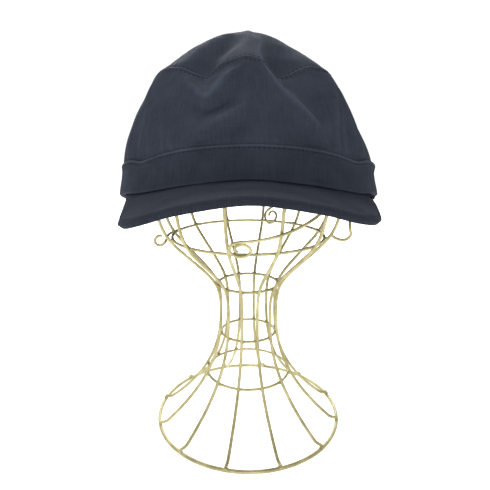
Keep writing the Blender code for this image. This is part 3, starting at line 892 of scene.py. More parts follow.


# Twisted, sunk in the cloth and dull; painted shade: darker than the twill, to read as dark dashes
@dataclass(frozen=True)
class CottonThread:
    """Twisted cotton sewing thread, coloured darker than the twill as painted shade of its holes.
    """

    name: str = "cotton_thread_navy"
    shaded_strand: str = "#1B1D26"
    shaded_groove: str = "#101219"
    twist: float = 0.6 * MM

    def make(self) -> bpy.types.Material:
        """Builds the material, uneven along the thread's twist.

        Returns:
            The material.
        """
        nodes = NodeTree(bpy.data.materials.new(self.name))
        place = nodes.add("TexCoord")["Object"]
        twist = nodes.add("TexNoise", {"Vector": place, "Scale": 1.0 / self.twist, "Detail": 1.0})
        shade = nodes.add(
            "Mix",
            {"Factor": twist["Fac"], "A": linear(self.shaded_groove), "B": linear(self.shaded_strand)},
            data_type="RGBA",
        )
        nodes.link(shade["Result"], "Base Color")
        nodes.set(Roughness=0.9, Specular_IOR_Level=0.1)
        return nodes.owner


# Sprayed on steel: pale and satin, its shine broken by orange peel, olive where the coat is thin
@dataclass(frozen=True)
class GoldPaint:
    """Sprayed gold paint on steel wire."""

    name: str = "gold_paint_on_steel"
    light: str = "#B6AD7E"
    dark: str = "#8B8355"
    patch: float = 12.0 * MM
    peel: float = 0.8 * MM
    relief: float = 0.08 * MM

    def make(self) -> bpy.types.Material:
        """Builds the material on Object coordinates.

        Returns:
            The material.
        """
        nodes = NodeTree(bpy.data.materials.new(self.name))
        place = nodes.add("TexCoord")["Object"]
        patch = nodes.add(
            "TexNoise",
            {"Vector": place, "Scale": 1.0 / self.patch, "Detail": 5.0, "Roughness": 0.65},
        )["Fac"]
        peel = nodes.add("TexNoise", {"Vector": place, "Scale": 1.0 / self.peel, "Detail": 2.0})
        share = nodes.add("MapRange", {"Value": patch, "From Min": 0.35, "From Max": 0.65})[0]
        colour = nodes.add(
            "Mix",
            {"Factor": share, "A": linear(self.dark), "B": linear(self.light)},
            data_type="RGBA",
        )
        rough = nodes.add("MapRange", {"Value": peel["Fac"], "To Min": 0.42, "To Max": 0.56})
        bump = nodes.add(
            "Bump", {"Strength": 0.25, "Distance": self.relief, "Height": peel["Fac"]}
        )
        nodes.link(colour["Result"], "Base Color")
        nodes.link(rough[0], "Roughness")
        nodes.link(bump[0], "Normal")
        nodes.set(Metallic=0.15)
        return nodes.owner


def deselect_all() -> None:
    """Leaves nothing selected and no object active."""
    for thing in bpy.context.view_layer.objects:
        thing.select_set(False)
    bpy.context.view_layer.objects.active = None


def edit_all(*steps: Callable[[], object]) -> None:
    """Runs steps in edit mode on all of the active piece.

    Args:
        steps: mesh operators with their settings.
    """
    bpy.ops.object.mode_set(mode="EDIT")
    bpy.ops.mesh.select_all(action="SELECT")
    for step in steps:
        step()
    bpy.ops.object.mode_set(mode="OBJECT")


def settle(piece: bpy.types.Object, material: bpy.types.Material, slot: str, *nodes: str) -> None:
    """Finishes a piece: its material, what it rides on and what it stands for.

    Args:
        piece: the finished piece.
        material: what it is made of.
        slot: the record's material slot; not used.
        nodes: the CAD nodes that it replaces.
    """
    piece.data.materials.clear()
    piece.data.materials.append(material)
    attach(piece, "root")
    if nodes:
        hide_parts(*nodes)
    LOG.info("%s: %d faces", piece.name, len(piece.data.polygons))


def taken_shape(piece: bpy.types.Object) -> tuple[np.ndarray, np.ndarray]:
    """Takes the shape of a piece that is to be copied, and removes the piece.

    Args:
        piece: a piece whose faces are all triangles.

    Returns:
        Its points and its faces.
    """
    points = np.empty(len(piece.data.vertices) * 3)
    piece.data.vertices.foreach_get("co", points)
    faces = np.array([tuple(face.vertices) for face in piece.data.polygons])
    bpy.data.objects.remove(piece, do_unlink=True)
    return points.reshape(-1, 3), faces


def copies(name: str, shapes: Sequence[np.ndarray], faces: np.ndarray) -> bpy.types.Object:
    """Joins copies of one shape into one piece.

    Args:
        name: the piece's name.
        shapes: the points of each copy.
        faces: the faces that every copy has.

    Returns:
        The piece, shaded smooth.
    """
    all_faces = [faces + len(shapes[0]) * k for k in range(len(shapes))]
    mesh = bpy.data.meshes.new(name)
    mesh.from_pydata(np.concatenate(shapes).tolist(), [], np.concatenate(all_faces).tolist())
    mesh.shade_smooth()
    piece = bpy.data.objects.new(name, mesh)
    bpy.context.scene.collection.objects.link(piece)
    return piece


class StitchRow(NamedTuple):
    """Points and outward ways along one row of topstitching."""

    points: np.ndarray
    ways: np.ndarray


@dataclass
class Topstitching:
    """Rows of topstitching, each stitch a short length of thread sunk at its ends."""

    name: str
    pitch: float = 0.0027
    length: float = 0.0020
    thick: float = 0.00050
    # Height of a stitch over its width
    flatness: float = 0.8
    proud: float = 0.00002
    # How far each side of a stitch its row's way is read
    reach: float = 0.0005
    rows: list[StitchRow] = field(default_factory=list)

    def sew(self, points: np.ndarray, ways: np.ndarray) -> None:
        """Adds a row along points on the cloth."""
        self.rows.append(StitchRow(points, ways))

    def template(self) -> tuple[np.ndarray, np.ndarray]:
        """Models one stitch along X, its middle raised.

        Returns:
            Its points and its faces.
        """
        deselect_all()
        bpy.ops.mesh.primitive_uv_sphere_add(segments=6, ring_count=5, radius=1.0)
        edit_all(bpy.ops.mesh.quads_convert_to_tris)
        points, faces = taken_shape(bpy.context.object)
        size = 0.5 * np.array([self.length, self.thick, self.flatness * self.thick])
        return points[:, [2, 0, 1]] * size, faces

    def make(self, material: bpy.types.Material) -> None:
        """Builds all rows as one piece.

        Args:
            material: the thread.
        """
        shape, faces = self.template()
        stitches = []
        for points, ways in self.rows:
            steps = np.linalg.norm(np.diff(points, axis=0), axis=1)
            lengths = np.concatenate([[0.0], np.cumsum(steps)])
            count = int(lengths[-1] // self.pitch)
            goals = (np.arange(count) + 0.5) * lengths[-1] / count
            centre, before, beyond, up = (
                np.stack([np.interp(goals + shift, lengths, line[:, k]) for k in range(3)], axis=1)
                for line, shift in (
                    (points, 0.0), (points, -self.reach), (points, self.reach), (ways, 0.0)
                )
            )
            ahead = unit(beyond - before)
            beside = unit(np.cross(unit(up), ahead))
            axes = np.stack([ahead, beside, np.cross(ahead, beside)], axis=1)
            stitches.extend(centre[:, None] + shape @ axes)
        settle(copies(self.name, stitches, faces), material, "navy_twill")


@dataclass
class ClothPart:
    """What each sewn part of the cap has: the form, the twill and the stitching."""

    form: CapForm
    twill: bpy.types.Material
    stitches: Topstitching

    def panel(
        self,
        name: str,
        points: np.ndarray,
        chart: np.ndarray,
        painted_light: np.ndarray,
        wall: float,
        weld: bool = False,
        rounding: float = 0.0,
    ) -> None:
        """Shapes a grid into a skin of twill and gives it its thickness, inward.

        Args:
            name: the panel's name, the same as its CAD node.
            points: rows of points, left to right seen from outside, rising.
            chart: the UV place of each point.
            painted_light: painted light and shade at each point, as a share of the cloth's colour,
                over 0 for a painted highlight and under 0 for painted shade.
            wall: the thickness.
            weld: whether points that lie together are merged.
            rounding: width of the rounding of its cut edges, or 0 for none.
        """
        rows, columns = points.shape[:2]
        deselect_all()
        bpy.ops.mesh.primitive_grid_add(x_subdivisions=columns - 1, y_subdivisions=rows - 1)
        piece = bpy.context.object
        mesh = piece.data
        piece.name = mesh.name = name
        mesh.vertices.foreach_set("co", points.reshape(-1))
        corners = np.empty(len(mesh.loops), dtype=np.int32)
        mesh.loops.foreach_get("vertex_index", corners)
        mesh.uv_layers.active.data.foreach_set("uv", chart.reshape(-1, 2)[corners].reshape(-1))
        painted_layer = mesh.attributes.new("painted_light", "FLOAT", "POINT")
        painted_layer.data.foreach_set("value", painted_light.reshape(-1))
        mesh.update()
        if weld:
            edit_all(partial(bpy.ops.mesh.remove_doubles, threshold=CLOTH_DOUBLE))
        solid = piece.modifiers.new("wall", "SOLIDIFY")
        solid.thickness = wall
        solid.offset = -1.0
        bpy.ops.object.modifier_apply(modifier=solid.name)
        if rounding:
            bevel = piece.modifiers.new("edge", "BEVEL")
            bevel.width = rounding
            bevel.segments = 3
            bevel.limit_method = "ANGLE"
            bevel.angle_limit = CUT_CORNER
            bpy.ops.object.modifier_apply(modifier=bevel.name)
        bpy.ops.object.shade_smooth_by_angle(angle=CLOTH_CORNER)
        settle(piece, self.twill, "navy_twill", name)


@dataclass
class Crown(ClothPart):
    """Front panel, side panels and top panel of the crown, with their seams."""

    cloth: float = 0.0016
    wall_length: float = 0.076
    wall_rows: int = 100
    top_length: float = 0.062
    top_rows: int = 78
    top_columns: int = 361
    # Length of the cloth from the middle of the front to a seam
    seam_reach: float = 0.075
    # Radius that turns azimuth into a length of the weave
    weave_radius: float = 0.080
    # How far under the top seam the lower row of stitching lies
    lower_row: float = 0.0018
    # Levels and points of the stitching down the front panel's seams
    upright_rows: tuple[float, float, int] = (1.04, 1.96, 120)
    # Levels over the band within which folds and ripples die away
    held: float = 0.06
    # The wall's foot is drawn in behind the band, over a width, and its last row tucked down
    foot_draw: float = 0.0007
    foot_draw_width: float = 0.0030
    tuck: float = 0.0012
    # Share of painted highlight for each metre that a crest stands up
    crest_highlight: float = 500.0
    # Painted highlights beside the top seam, on the wall and on the top panel
    wall_highlight: EdgeHighlight = EdgeHighlight(0.30, 0.0012, 0.0006)
    top_highlight: EdgeHighlight = EdgeHighlight(0.35, 0.0016, 0.0006)
    soft: Ripple = Ripple(11, 0.030, 0.085, 0.00045)
    fine: Ripple = Ripple(12, 0.010, 0.026, 0.00009)

    def skin(self, azimuth: np.ndarray, level: np.ndarray, sink: np.ndarray) -> np.ndarray:
        """Points of the folded skin, sunk by its seams.

        Args:
            azimuth: azimuths in radians.
            level: levels from 1 to 3.
            sink: how far seams draw each point inward.

        Returns:
            Points in the row frame.
        """
        base = self.form.smooth(azimuth, level)
        push = self.form.fold_push(base, FOLDS + CREASES + CRESTS)
        push = push + self.soft.at(base) + self.fine.at(base)
        # The cloth lies still where the band holds it
        push = push * np.clip((level - 1.0) / self.held, 0.0, 1.0) + sink
        return self.form.place(base + self.form.inward(base) * push[..., None])

    def painted_light(self, azimuth: np.ndarray, level: np.ndarray) -> np.ndarray:
        """Painted highlight along the crests, as a share of paleness."""
        return -self.crest_highlight * self.form.fold_push(self.form.smooth(azimuth, level), CRESTS)

    def outward(self, azimuth: np.ndarray, level: np.ndarray) -> np.ndarray:
        """Outward ways, in the row frame."""
        return -self.form.tipped(self.form.inward(self.form.smooth(azimuth, level)))

    def wall(self, name: str, start: float, end: float, columns: int, seam: SeamShape) -> None:
        """Builds an upright panel between two places across the crown.

        Args:
            name: the panel's name, the same as its CAD node.
            start: left end, in seams: -1 is the left seam, 1 the right and 2 the back.
            end: right end.
            columns: even columns between the ends.
            seam: how the cloth lies beside the panel's upright seams.
        """
        width = self.seam_reach * abs(end - start)
        share = spaced(width, columns)
        place = (start + (end - start) * share)[None, :]
        level = 1.0 + spaced(self.wall_length, self.wall_rows)[:, None]
        turn = self.form.panel_seam(level)
        beyond = np.abs(place) - 1.0
        past_seam = np.sign(place) * (turn + (math.pi - turn) * beyond)
        azimuth = np.where(beyond <= 0.0, turn * place, past_seam)
        azimuth, level = np.broadcast_arrays(azimuth, level)
        low, high = (level - 1.0) * self.wall_length, (2.0 - level) * self.wall_length
        sides = np.broadcast_to(share[None, :] * width, level.shape)
        sink = PLAIN_SEAM.at(high) + self.foot_draw * bump_at(low, 0.0, self.foot_draw_width)
        sink = sink + seam.at(sides) + seam.at(width - sides)
        points = self.skin(azimuth, level, sink)
        points[0] += self.form.tipped(np.array([0.0, 0.0, -self.tuck]))
        chart = np.stack([azimuth * self.weave_radius, low], axis=-1)
        # Painted highlights on the crests and beside the top seam
        painted_light = self.painted_light(azimuth, level) + self.wall_highlight.at(high)
        self.panel(name, points, chart, painted_light, self.cloth)

    def top(self) -> None:
        """Builds the top panel, closed at the back and at its apex."""
        azimuth = np.linspace(-math.pi, math.pi, self.top_columns)[None, :]
        level = 2.0 + spaced(self.top_length, self.top_rows, last=False)[:, None]
        azimuth, level = np.broadcast_arrays(azimuth, level)
        near = (level - 2.0) * self.top_length
        points = self.skin(azimuth, level, FELLED_SEAM.at(near))
        points[-1] = points[-1].mean(axis=0)
        flat = self.form.smooth(azimuth, level)[..., :2]
        # Painted highlights on the crests and beside the top seam
        painted_light = self.painted_light(azimuth, level) + self.top_highlight.at(near)
        self.panel("top_panel", points, flat, painted_light, self.cloth, weld=True)

    def sew(self) -> None:
        """Adds stitching above and below the top seam and down the front panel's seams."""
        near = FELLED_SEAM.stitch_place
        depth = float(FELLED_SEAM.at(np.array(near))) - self.stitches.proud
        below = float(PLAIN_SEAM.at(np.array(self.lower_row))) - self.stitches.proud
        around = np.linspace(-math.pi, math.pi, ROUND_POINTS)
        levels = (2.0 + near / self.top_length, 2.0 - self.lower_row / self.wall_length)
        lines = [
            (around, np.full_like(around, level), sink)
            for level, sink in zip(levels, (depth, below))
        ]
        rise = np.linspace(*self.upright_rows)
        turn = self.form.panel_seam(rise) - near / self.seam_reach
        lines += [(-turn, rise, depth), (turn, rise, depth)]
        for turn, level, sink in lines:
            line = self.skin(turn, level, np.full_like(turn, sink))
            self.stitches.sew(line, self.outward(turn, level))

    def make(self) -> None:
        """Builds the four panels and their stitching."""
        self.wall("front_panel", -1.0, 1.0, 150, FELLED_SEAM)
        self.wall("side_panel_left", -2.0, -1.0, 130, PLAIN_SEAM)
        self.wall("side_panel_right", 1.0, 2.0, 130, PLAIN_SEAM)
        self.top()
        self.sew()


@dataclass
class Band(ClothPart):
    """The plain band round the crown's foot, its folded top edge stitched down."""

    rows: int = 24
    columns: int = 541
    weave_radius: float = 0.092
    soft: Ripple = Ripple(21, 0.022, 0.055, 0.00045)
    # Painted highlights along the band's rounded top edge and along its foot
    top_highlight: EdgeHighlight = EdgeHighlight(0.70, 0.0005, 0.0006)
    foot_highlight: EdgeHighlight = EdgeHighlight(0.30, 0.0004, 0.0005)
    # Painted shade: the band is drawn darker than the crown
    painted_shade: float = 0.14

    def skin(self, azimuth: np.ndarray, level: np.ndarray) -> tuple[np.ndarray, np.ndarray]:
        """The band's outer skin.

        Args:
            azimuth: azimuths in radians.
            level: levels from 0 to 1.

        Returns:
            Its points and the outward ways there, in the row frame.
        """
        base = self.form.smooth(azimuth, level)
        way = self.form.inward(base)
        sink = BAND_TOP.at((1.0 - level) * self.form.band_height)
        sink = sink + BAND_FOOT.at(level * self.form.band_height)
        sink = sink + self.soft.at(base) * np.sin(math.pi * level)
        return self.form.place(base + way * sink[..., None]), -self.form.tipped(way)

    def make(self) -> None:
        """Builds the band as one loop of doubled cloth, and its stitching."""
        height = self.form.band_height
        azimuth = np.linspace(-math.pi, math.pi, self.columns)[None, :]
        level = spaced(height, self.rows)[:, None]
        azimuth, level = np.broadcast_arrays(azimuth, level)
        points = self.skin(azimuth, level)[0]
        chart = np.stack([azimuth * self.weave_radius, level * height], axis=-1)
        # Painted highlights at the top edge and the foot, over painted shade on the whole band
        painted_light = self.top_highlight.at((1.0 - level) * height) + self.foot_highlight.at(level * height)
        painted_light = painted_light - self.painted_shade
        self.panel("band", points, chart, painted_light, self.form.band_wall, weld=True)
        turn = np.linspace(-math.pi, math.pi, ROUND_POINTS)
        line, outward = self.skin(turn, np.full_like(turn, 1.0 - BAND_TOP.stitch_place / height))
        self.stitches.sew(line + outward * self.stitches.proud, outward)


@dataclass
class Brim(ClothPart):
    """The stiffened brim: a board in twill, its cloth edge past the board thin and drooping."""

    wall: float = 0.0019
    rounding: float = 0.0005
    # Its length from root to edge, which spaces its rows
    length: float = 0.060
    rows: int = 110
    columns: int = 321
    edge_width: float = 0.0042
    edge_droop: float = 0.0019
    stitch_dent: float = 0.0003
    stitch_width: float = 0.0005
    # Share of its half width at each end where the droop dies away
    quiet_end: float = 0.15
    # Share of its half width that is stitched, and the points of that line
    stitched: float = 0.80
    stitch_points: int = 500
    soft: Ripple = Ripple(31, 0.020, 0.060, 0.00012)
    # Painted shade: drawn darker than the crown for the crown's shadow on it, and darkest on the
    # edge strip past the board, which droops out of the light
    painted_shade: float = 0.18
    edge_painted_shade: float = 0.25
    edge_shade_soft: float = 0.0004
    # Its seam allowance turns up inside the band: steps inward and up
    allowance: tuple[tuple[float, float], ...] = (
        (0.0006, 0.0002), (0.0014, 0.0010), (0.0016, 0.0045)
    )

    def to_edge(self, across: np.ndarray, share: np.ndarray) -> np.ndarray:
        """How far points lie from the brim's outer edge.

        Args:
            across: from -1 at its left end to 1 at its right end.
            share: from 0 at its root to 1 at its edge.

        Returns:
            One distance for each point.
        """
        root, edge = (self.form.brim(across, np.full_like(share, end)) for end in (0.0, 1.0))
        return (1.0 - share) * np.linalg.norm(edge - root, axis=-1)

    def skin(self, across: np.ndarray, share: np.ndarray) -> np.ndarray:
        """The brim's upper skin.

        Args:
            across: from -1 at its left end to 1 at its right end.
            share: from 0 at its root to 1 at its edge.

        Returns:
            Points of the level cap.
        """
        points = self.form.brim(across, share)
        near = self.to_edge(across, share)
        droop = np.clip(1.0 - near / self.edge_width, 0.0, 1.0)
        sink = self.edge_droop * ease(droop)
        sink = sink + self.stitch_dent * bump_at(near, self.edge_width, self.stitch_width)
        # The droop and the stitched line die away before the brim's ends
        sink = sink * np.clip((1.0 - np.abs(across)) / self.quiet_end, 0.0, 1.0)
        points[..., 2] -= sink + self.soft.at(points)
        return points

    def turned_up(self, across: np.ndarray) -> np.ndarray:
        """The seam allowance inside the band.

        Args:
            across: from -1 at its left end to 1 at its right end.

        Returns:
            Its rows of points, rising, of the level cap.
        """
        root = self.skin(across, np.zeros_like(across))
        way = -polar(across * self.form.brim_half_angle, 1.0, 0.0)
        up = np.array([0.0, 0.0, 1.0])
        return np.stack([root + way * step + up * rise for step, rise in self.allowance])

    def make(self) -> None:
        """Builds the brim and the stitching by its edge."""
        line = np.linspace(-1.0, 1.0, self.columns)
        share = 1.0 - spaced(self.length, self.rows, last=False)[::2]
        across, share = np.meshgrid(line, share)
        points = np.concatenate([self.skin(across, share), self.turned_up(line)])
        # Painted shade over the whole brim, darkest on the drooping edge strip
        painted_light = np.full(points.shape[:2], -self.painted_shade)
        edge = ledge(self.to_edge(across, share), self.edge_width, self.edge_shade_soft)
        painted_light[: len(share)] -= self.edge_painted_shade * edge
        chart, points = points[..., :2], self.form.place(points)
        self.panel("brim", points, chart, painted_light, self.wall, rounding=self.rounding)
        line = np.linspace(-self.stitched, self.stitched, self.stitch_points)
        length = self.to_edge(line, np.zeros_like(line))
        row = self.form.place(self.skin(line, 1.0 - self.edge_width / length))
        up = self.form.tipped(np.array([0.0, 0.0, 1.0]))
        self.stitches.sew(row + up * self.stitches.proud, np.broadcast_to(up, row.shape))


@dataclass
class WireStand:
    """The stand: ribs, rings, scrolls and the welds between them."""

    paint: bpy.types.Material
    axis_y: float
    height: float = 0.2880
    foot_radius: float = 0.0727
    foot_wire: float = 0.0027
    waist_radius: float = 0.0222
    waist_height: float = 0.0930
    shoulder_height: float = 0.1920
    cage_radius: float = 0.0704
    top_ring_radius: float = 0.0080
    rib_count: int = 12
    rib_wire: float = 0.0021
    hoop_wire: float = 0.0018
    # The coat of paint adds this to each wire's diameter
    coat: float = 0.00027
    scroll_radius: float = 0.0060
    scroll_reach: float = 0.0140
    # Share of a scroll's run at which it starts to bend
    scroll_bend: float = 0.4
    turn: float = math.radians(2.6)
    flare_power: float = 2.45
    dome_power: float = 1.75
    # How far ribs bent by hand sway to a side, in radians, and how often
    sway: float = 0.004
    sway_turns: float = 5.0
    weld_size: float = 0.0013
    # A weld's width along its ring, over its other sizes
    weld_width: float = 1.5
    weld_range: tuple[float, float] = (0.9, 1.15)
    weld_lumps: float = 0.12
    # Where a weld sits on its ring: steps outward and up, in wires
    weld_seat: tuple[float, float] = (0.45, 0.0)
    foot_weld_seat: tuple[float, float] = (0.0, 0.5)
    top_weld_seat: tuple[float, float] = (0.6, 0.0)
    hoops: tuple[tuple[str, float], ...] = (
        ("hoop_low", 0.0395),
        ("hoop_lower_waist", 0.0730),
        ("hoop_upper_waist", 0.1129),
        ("hoop_high", 0.1510),
    )
    part_points: int = 60
    ring_points: int = 160
    run_points: int = 40

    def around(self, azimuth: np.ndarray, radius: np.ndarray, height: np.ndarray) -> np.ndarray:
        """Points round the stand's axis, azimuth 0 at the front."""
        return polar(azimuth, radius, height) + np.array([0.0, self.axis_y, 0.0])

    def rib_azimuth(self, number: int) -> float:
        """Azimuth of one rib."""
        return self.turn + 2.0 * math.pi * (number + 0.5) / self.rib_count

    def rib_path(self) -> np.ndarray:
        """Follows a rib from the foot to the top ring.

        Returns:
            Radius and height along its middle line.
        """
        foot = self.foot_wire + 0.5 * self.rib_wire + GAP
        share = np.linspace(1.0, 0.0, self.part_points, endpoint=False)
        flare = (self.foot_radius - self.waist_radius) * share ** self.flare_power
        rise = np.maximum(self.waist_height * (1.0 - share), foot)
        low = np.stack([self.waist_radius + flare, rise], axis=1)
        share = np.linspace(0.0, 1.0, self.part_points, endpoint=False)
        spread = (self.cage_radius - self.waist_radius) * read_table(CAGE, "spread", share)
        rise = self.waist_height + (self.shoulder_height - self.waist_height) * share
        middle = np.stack([self.waist_radius + spread, rise], axis=1)
        end = self.top_ring_radius + 0.5 * self.hoop_wire + GAP
        top = self.height - 0.5 * self.rib_wire
        turn = np.linspace(0.0, 0.5 * math.pi, self.part_points)
        radius = self.cage_radius * np.maximum(np.cos(turn), 0.0) ** (2.0 / self.dome_power)
        rise = (top - self.shoulder_height) * np.sin(turn) ** (2.0 / self.dome_power)
        dome = np.stack([radius, self.shoulder_height + rise], axis=1)
        return np.concatenate([low, middle, dome[radius > end], [[end, top]]])

    def cage_place(self, height: np.ndarray) -> tuple[np.ndarray, np.ndarray]:
        """Finds a rib at heights over its foot and under the shoulder.

        Args:
            height: the heights.

        Returns:
            Its radius there, and how fast that grows with height.
        """
        path = self.rib_path()
        above_foot = 2.0 * self.foot_wire
        path = path[(path[:, 1] <= self.shoulder_height) & (path[:, 1] > above_foot)]
        radius, beyond = (np.interp(height + step, path[:, 1], path[:, 0]) for step in (0.0, MM))
        return radius, (beyond - radius) / MM

    def ring_sizes(self) -> dict[str, tuple[float, float, float]]:
        """Sizes of each ring, laid inside the ribs.

        Returns:
            Name to radius, height and wire.
        """
        foot = self.foot_wire - self.coat
        sizes = {"foot_ring": (self.foot_radius, 0.5 * self.foot_wire, foot)}
        seat = 0.5 * (self.rib_wire + self.hoop_wire) + GAP
        for name, height in self.hoops:
            radius, slope = self.cage_place(np.array(height))
            sizes[name] = (float(radius - seat * math.hypot(1.0, slope)), height, self.hoop_wire)
        top = self.height - 0.5 * self.hoop_wire
        sizes["top_ring"] = (self.top_ring_radius, top, self.hoop_wire)
        return sizes

    def wire(self, name: str, line: np.ndarray, wire: float, closed: bool = False) -> None:
        """Draws a round wire along a line, as the piece for one CAD node.

        Args:
            name: the piece's name, the same as its CAD node.
            line: the wire's middle line, in the row frame.
            wire: its diameter under the paint.
            closed: whether the line is a ring.
        """
        deselect_all()
        bpy.ops.curve.primitive_nurbs_path_add(radius=1.0)
        piece = bpy.context.object
        piece.name = name
        curve = piece.data
        curve.splines.clear()
        curve.dimensions = "3D"
        curve.bevel_depth = 0.5 * (wire + self.coat)
        curve.bevel_resolution = 3
        curve.use_fill_caps = not closed
        spline = curve.splines.new("POLY")
        spline.points.add(len(line) - 1)
        weighted = np.concatenate([line, np.ones((len(line), 1))], axis=1)
        spline.points.foreach_set("co", weighted.reshape(-1))
        spline.use_cyclic_u = closed
        bpy.ops.object.convert(target="MESH")
        edit_all(
            partial(bpy.ops.mesh.remove_doubles, threshold=WIRE_DOUBLE),
            partial(bpy.ops.mesh.normals_make_consistent, inside=False),
        )
        bpy.ops.object.shade_smooth_by_angle(angle=WIRE_CORNER)
        settle(bpy.context.object, self.paint, "gold_paint", name)

    def make_rings(self) -> None:
        """Builds the foot ring, the hoops and the top ring."""
        turn = np.linspace(0.0, 2.0 * math.pi, self.ring_points, endpoint=False)
        for name, (radius, height, wire) in self.ring_sizes().items():
            self.wire(name, self.around(turn, radius, height), wire, closed=True)

    def make_ribs(self) -> None:
        """Builds each rib, bent by hand and so a little off its true line."""
        path = self.rib_path()
        share = np.linspace(0.0, 1.0, len(path))
        chance = np.random.RandomState(5)
        for number in range(self.rib_count):
            sway = self.sway * chance.uniform(-1.0, 1.0) * np.sin(math.pi * share)
            azimuth = self.rib_azimuth(number) + sway * np.sin(self.sway_turns * share + number)
            line = self.around(azimuth, path[:, 0], path[:, 1])
            self.wire(f"rib_{number + 1:02d}", line, self.rib_wire)

    def scroll_line(self, row: ScrollRow) -> np.ndarray:
        """Follows a scroll wire: its start at a rib, a bent run and its curl.

        The wire is drawn flat, as length round the cage, distance out from it and
        height, and then laid round the cage.

        Args:
            row: the scroll's row of the table.

        Returns:
            Its middle line, in the row frame.
        """
        axes = np.eye(3)
        first, second = axes[row.first], axes[row.second]
        high = self.hoops[-1][1]
        weld, middle = (
            np.array([self.cage_radius * math.radians(azimuth), out, high * height])
            for azimuth, out, height in (
                (row.weld_azimuth, 0.0, row.weld_height),
                (row.azimuth, self.scroll_reach * row.out, row.height),
            )
        )
        share = np.linspace(0.0, 1.0, self.part_points)
        turn = np.radians(row.start + row.turn * share)
        radius = self.scroll_radius * (row.radius + (row.end_radius - row.radius) * share * share)
        curl = middle + first * (radius * row.wide * np.cos(turn))[:, None]
        curl = curl + second * (radius * np.sin(turn))[:, None]
        begin = math.radians(row.start)
        heading = second * math.cos(begin) - first * row.wide * math.sin(begin)
        before = curl[0] - heading * math.copysign(self.scroll_radius * row.run, row.turn)
        bend = weld + (before - weld) * self.scroll_bend
        t = np.linspace(0.0, 1.0, self.run_points)[:, None]
        run = weld * (1.0 - t) ** 3 + 3.0 * bend * t * (1.0 - t) ** 2
        run = run + 3.0 * before * t * t * (1.0 - t) + curl[0] * t ** 3
        flat = np.concatenate([run[:-1], curl])
        radius, slope = self.cage_place(flat[:, 2])
        if row.first == 1:
            # A curl that stands out from the cage stays round where the cage widens
            share = np.minimum(np.arange(len(flat)) / (len(run) - 1.0), 1.0)
            flat[:, 1] -= share * (radius - self.cage_place(middle[2])[0])
        flat[: len(run) - 1, 1] = np.maximum(flat[: len(run) - 1, 1], 0.0)
        seat = 0.5 * (self.rib_wire + self.hoop_wire) + GAP
        reach = radius + seat * np.hypot(1.0, slope) + flat[:, 1]
        return self.around(flat[:, 0] / self.cage_radius + self.turn, reach, flat[:, 2])

    def make_scrolls(self) -> None:
        """Builds the four scroll wires."""
        for name, row in SCROLLS.items():
            self.wire(name, self.scroll_line(row), self.hoop_wire)

    def make_welds(self) -> None:
        """Builds the small welds where ribs meet rings, copies of one bead."""
        deselect_all()
        bpy.ops.mesh.primitive_ico_sphere_add(subdivisions=2, radius=1.0)
        bead, faces = taken_shape(bpy.context.object)
        seats = {"foot_ring": self.foot_weld_seat, "top_ring": self.top_weld_seat}
        size = self.weld_size * np.array([self.weld_width, 1.0, 1.0])
        up = np.array([0.0, 0.0, 1.0])
        chance = np.random.RandomState(9)
        welds = []
        for name, (radius, height, wire) in self.ring_sizes().items():
            step, rise = seats.get(name, self.weld_seat)
            for number in range(self.rib_count):
                azimuth = self.rib_azimuth(number)
                centre = self.around(azimuth, radius + step * wire, height + rise * wire)
                out = polar(azimuth, 1.0, 0.0)
                spread = chance.uniform(*self.weld_range, 3) * size
                lumpy = bead + self.weld_lumps * chance.normal(size=bead.shape)
                welds.append(centre + (lumpy * spread) @ np.stack([np.cross(up, out), out, up]))
        settle(copies("welds", welds, faces), self.paint, "gold_paint")

    def make(self) -> None:
        """Builds the whole stand."""
        self.make_rings()
        self.make_ribs()
        self.make_scrolls()
        self.make_welds()


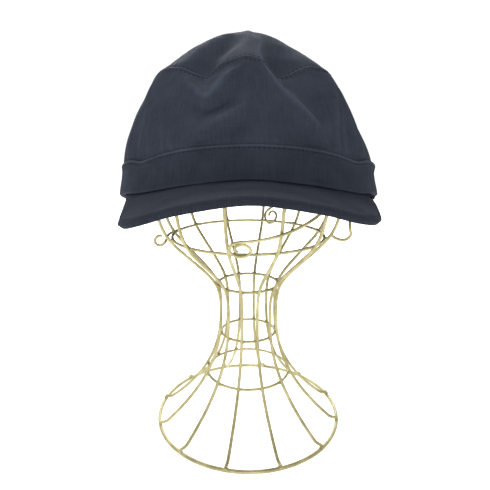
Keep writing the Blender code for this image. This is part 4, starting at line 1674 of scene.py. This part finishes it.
@dataclass
class Studio:
    """Pale floor, soft lights and the camera at the photo's angle."""

    axis_y: float
    floor_size: float = 6.0
    board: str = "#D2D2D2"
    # Enough of its own light to show no shadow on the ground
    board_glow: float = 0.95
    # The sky's strength low down and overhead, and the heights of the way between which it fades
    horizon: float = 1.05
    zenith: float = 0.04
    fade: tuple[float, float] = (0.46, 0.62)
    # Height that the lamps face
    aim: float = 0.22
    sensor_mm: float = 36.0
    focal_pixels: float = 454.0
    image_pixels: float = 490.0
    near_clip: float = 0.01
    down: float = math.radians(14.3)
    distance: float = 0.335
    eye: tuple[float, float] = (-0.0025, 0.2284)

    def floor(self) -> None:
        """Adds the floor, a wide matt white board."""
        deselect_all()
        bpy.ops.mesh.primitive_plane_add(size=self.floor_size, location=(0.0, 0.0, 0.0))
        floor = bpy.context.object
        floor.name = "floor"
        nodes = NodeTree(bpy.data.materials.new("white_board"))
        nodes.set(Base_Color=linear(self.board), Emission_Color=linear("#FFFFFF"))
        nodes.set(Roughness=0.9, Specular_IOR_Level=0.0, Emission_Strength=self.board_glow)
        floor.data.materials.append(nodes.owner)

    def lamp(self, row: LampRow) -> None:
        """Adds one soft square lamp that faces the cap.

        Args:
            row: the lamp's row of the table.
        """
        light = bpy.data.lights.new(row.name, "AREA")
        light.size = row.size
        light.energy = row.power
        lamp = bpy.data.objects.new(row.name, light)
        bpy.context.scene.collection.objects.link(lamp)
        lamp.location = (row.side, self.axis_y + row.back, row.height)
        way = Vector((0.0, self.axis_y, self.aim)) - lamp.location
        lamp.rotation_euler = way.to_track_quat("-Z", "Y").to_euler()

    def light(self) -> None:
        """Lights the cap from above, behind and in front, with a pale horizon all round."""
        nodes = NodeTree(bpy.data.worlds.new("studio"), "Background")
        height = nodes.add("SeparateXYZ", {0: nodes.add("TexCoord")["Generated"]})["Z"]
        limits = {"From Min": self.fade[0], "From Max": self.fade[1]}
        limits |= {"To Min": self.horizon, "To Max": self.zenith}
        nodes.link(nodes.add("MapRange", {"Value": height, **limits})[0], "Strength")
        nodes.set(Color=linear("#FFFFFF"))
        bpy.context.scene.world = nodes.owner
        for row in LAMPS:
            self.lamp(row)

    def camera(self) -> None:
        """Adds the camera, placed by the ellipses of the stand's rings in the photo."""
        view = bpy.data.cameras.new("photo_view")
        view.sensor_width = self.sensor_mm
        view.lens = self.sensor_mm * self.focal_pixels / self.image_pixels
        view.clip_start = self.near_clip
        camera = bpy.data.objects.new("photo_view", view)
        bpy.context.scene.collection.objects.link(camera)
        camera.location = (self.eye[0], self.axis_y - self.distance, self.eye[1])
        camera.rotation_euler = (0.5 * math.pi - self.down, 0.0, 0.0)
        bpy.context.scene.camera = camera

    def make(self) -> None:
        """Sets the whole studio."""
        self.floor()
        self.light()
        self.camera()
        bpy.context.scene.view_settings.view_transform = "Standard"


def main() -> None:
    """Builds the studio, the stand and the cap, in that order."""
    logging.basicConfig(level=logging.INFO, format="%(name)s %(message)s")
    form = CapForm()
    twill = CottonTwill().make()
    thread = CottonThread().make()
    paint = GoldPaint().make()
    Studio(form.axis_y).make()
    WireStand(paint, form.axis_y).make()
    stitches = Topstitching("topstitching")
    Crown(form, twill, stitches).make()
    Band(form, twill, stitches).make()
    Brim(form, twill, stitches).make()
    stitches.make(thread)


if __name__ == "__main__":
    main()
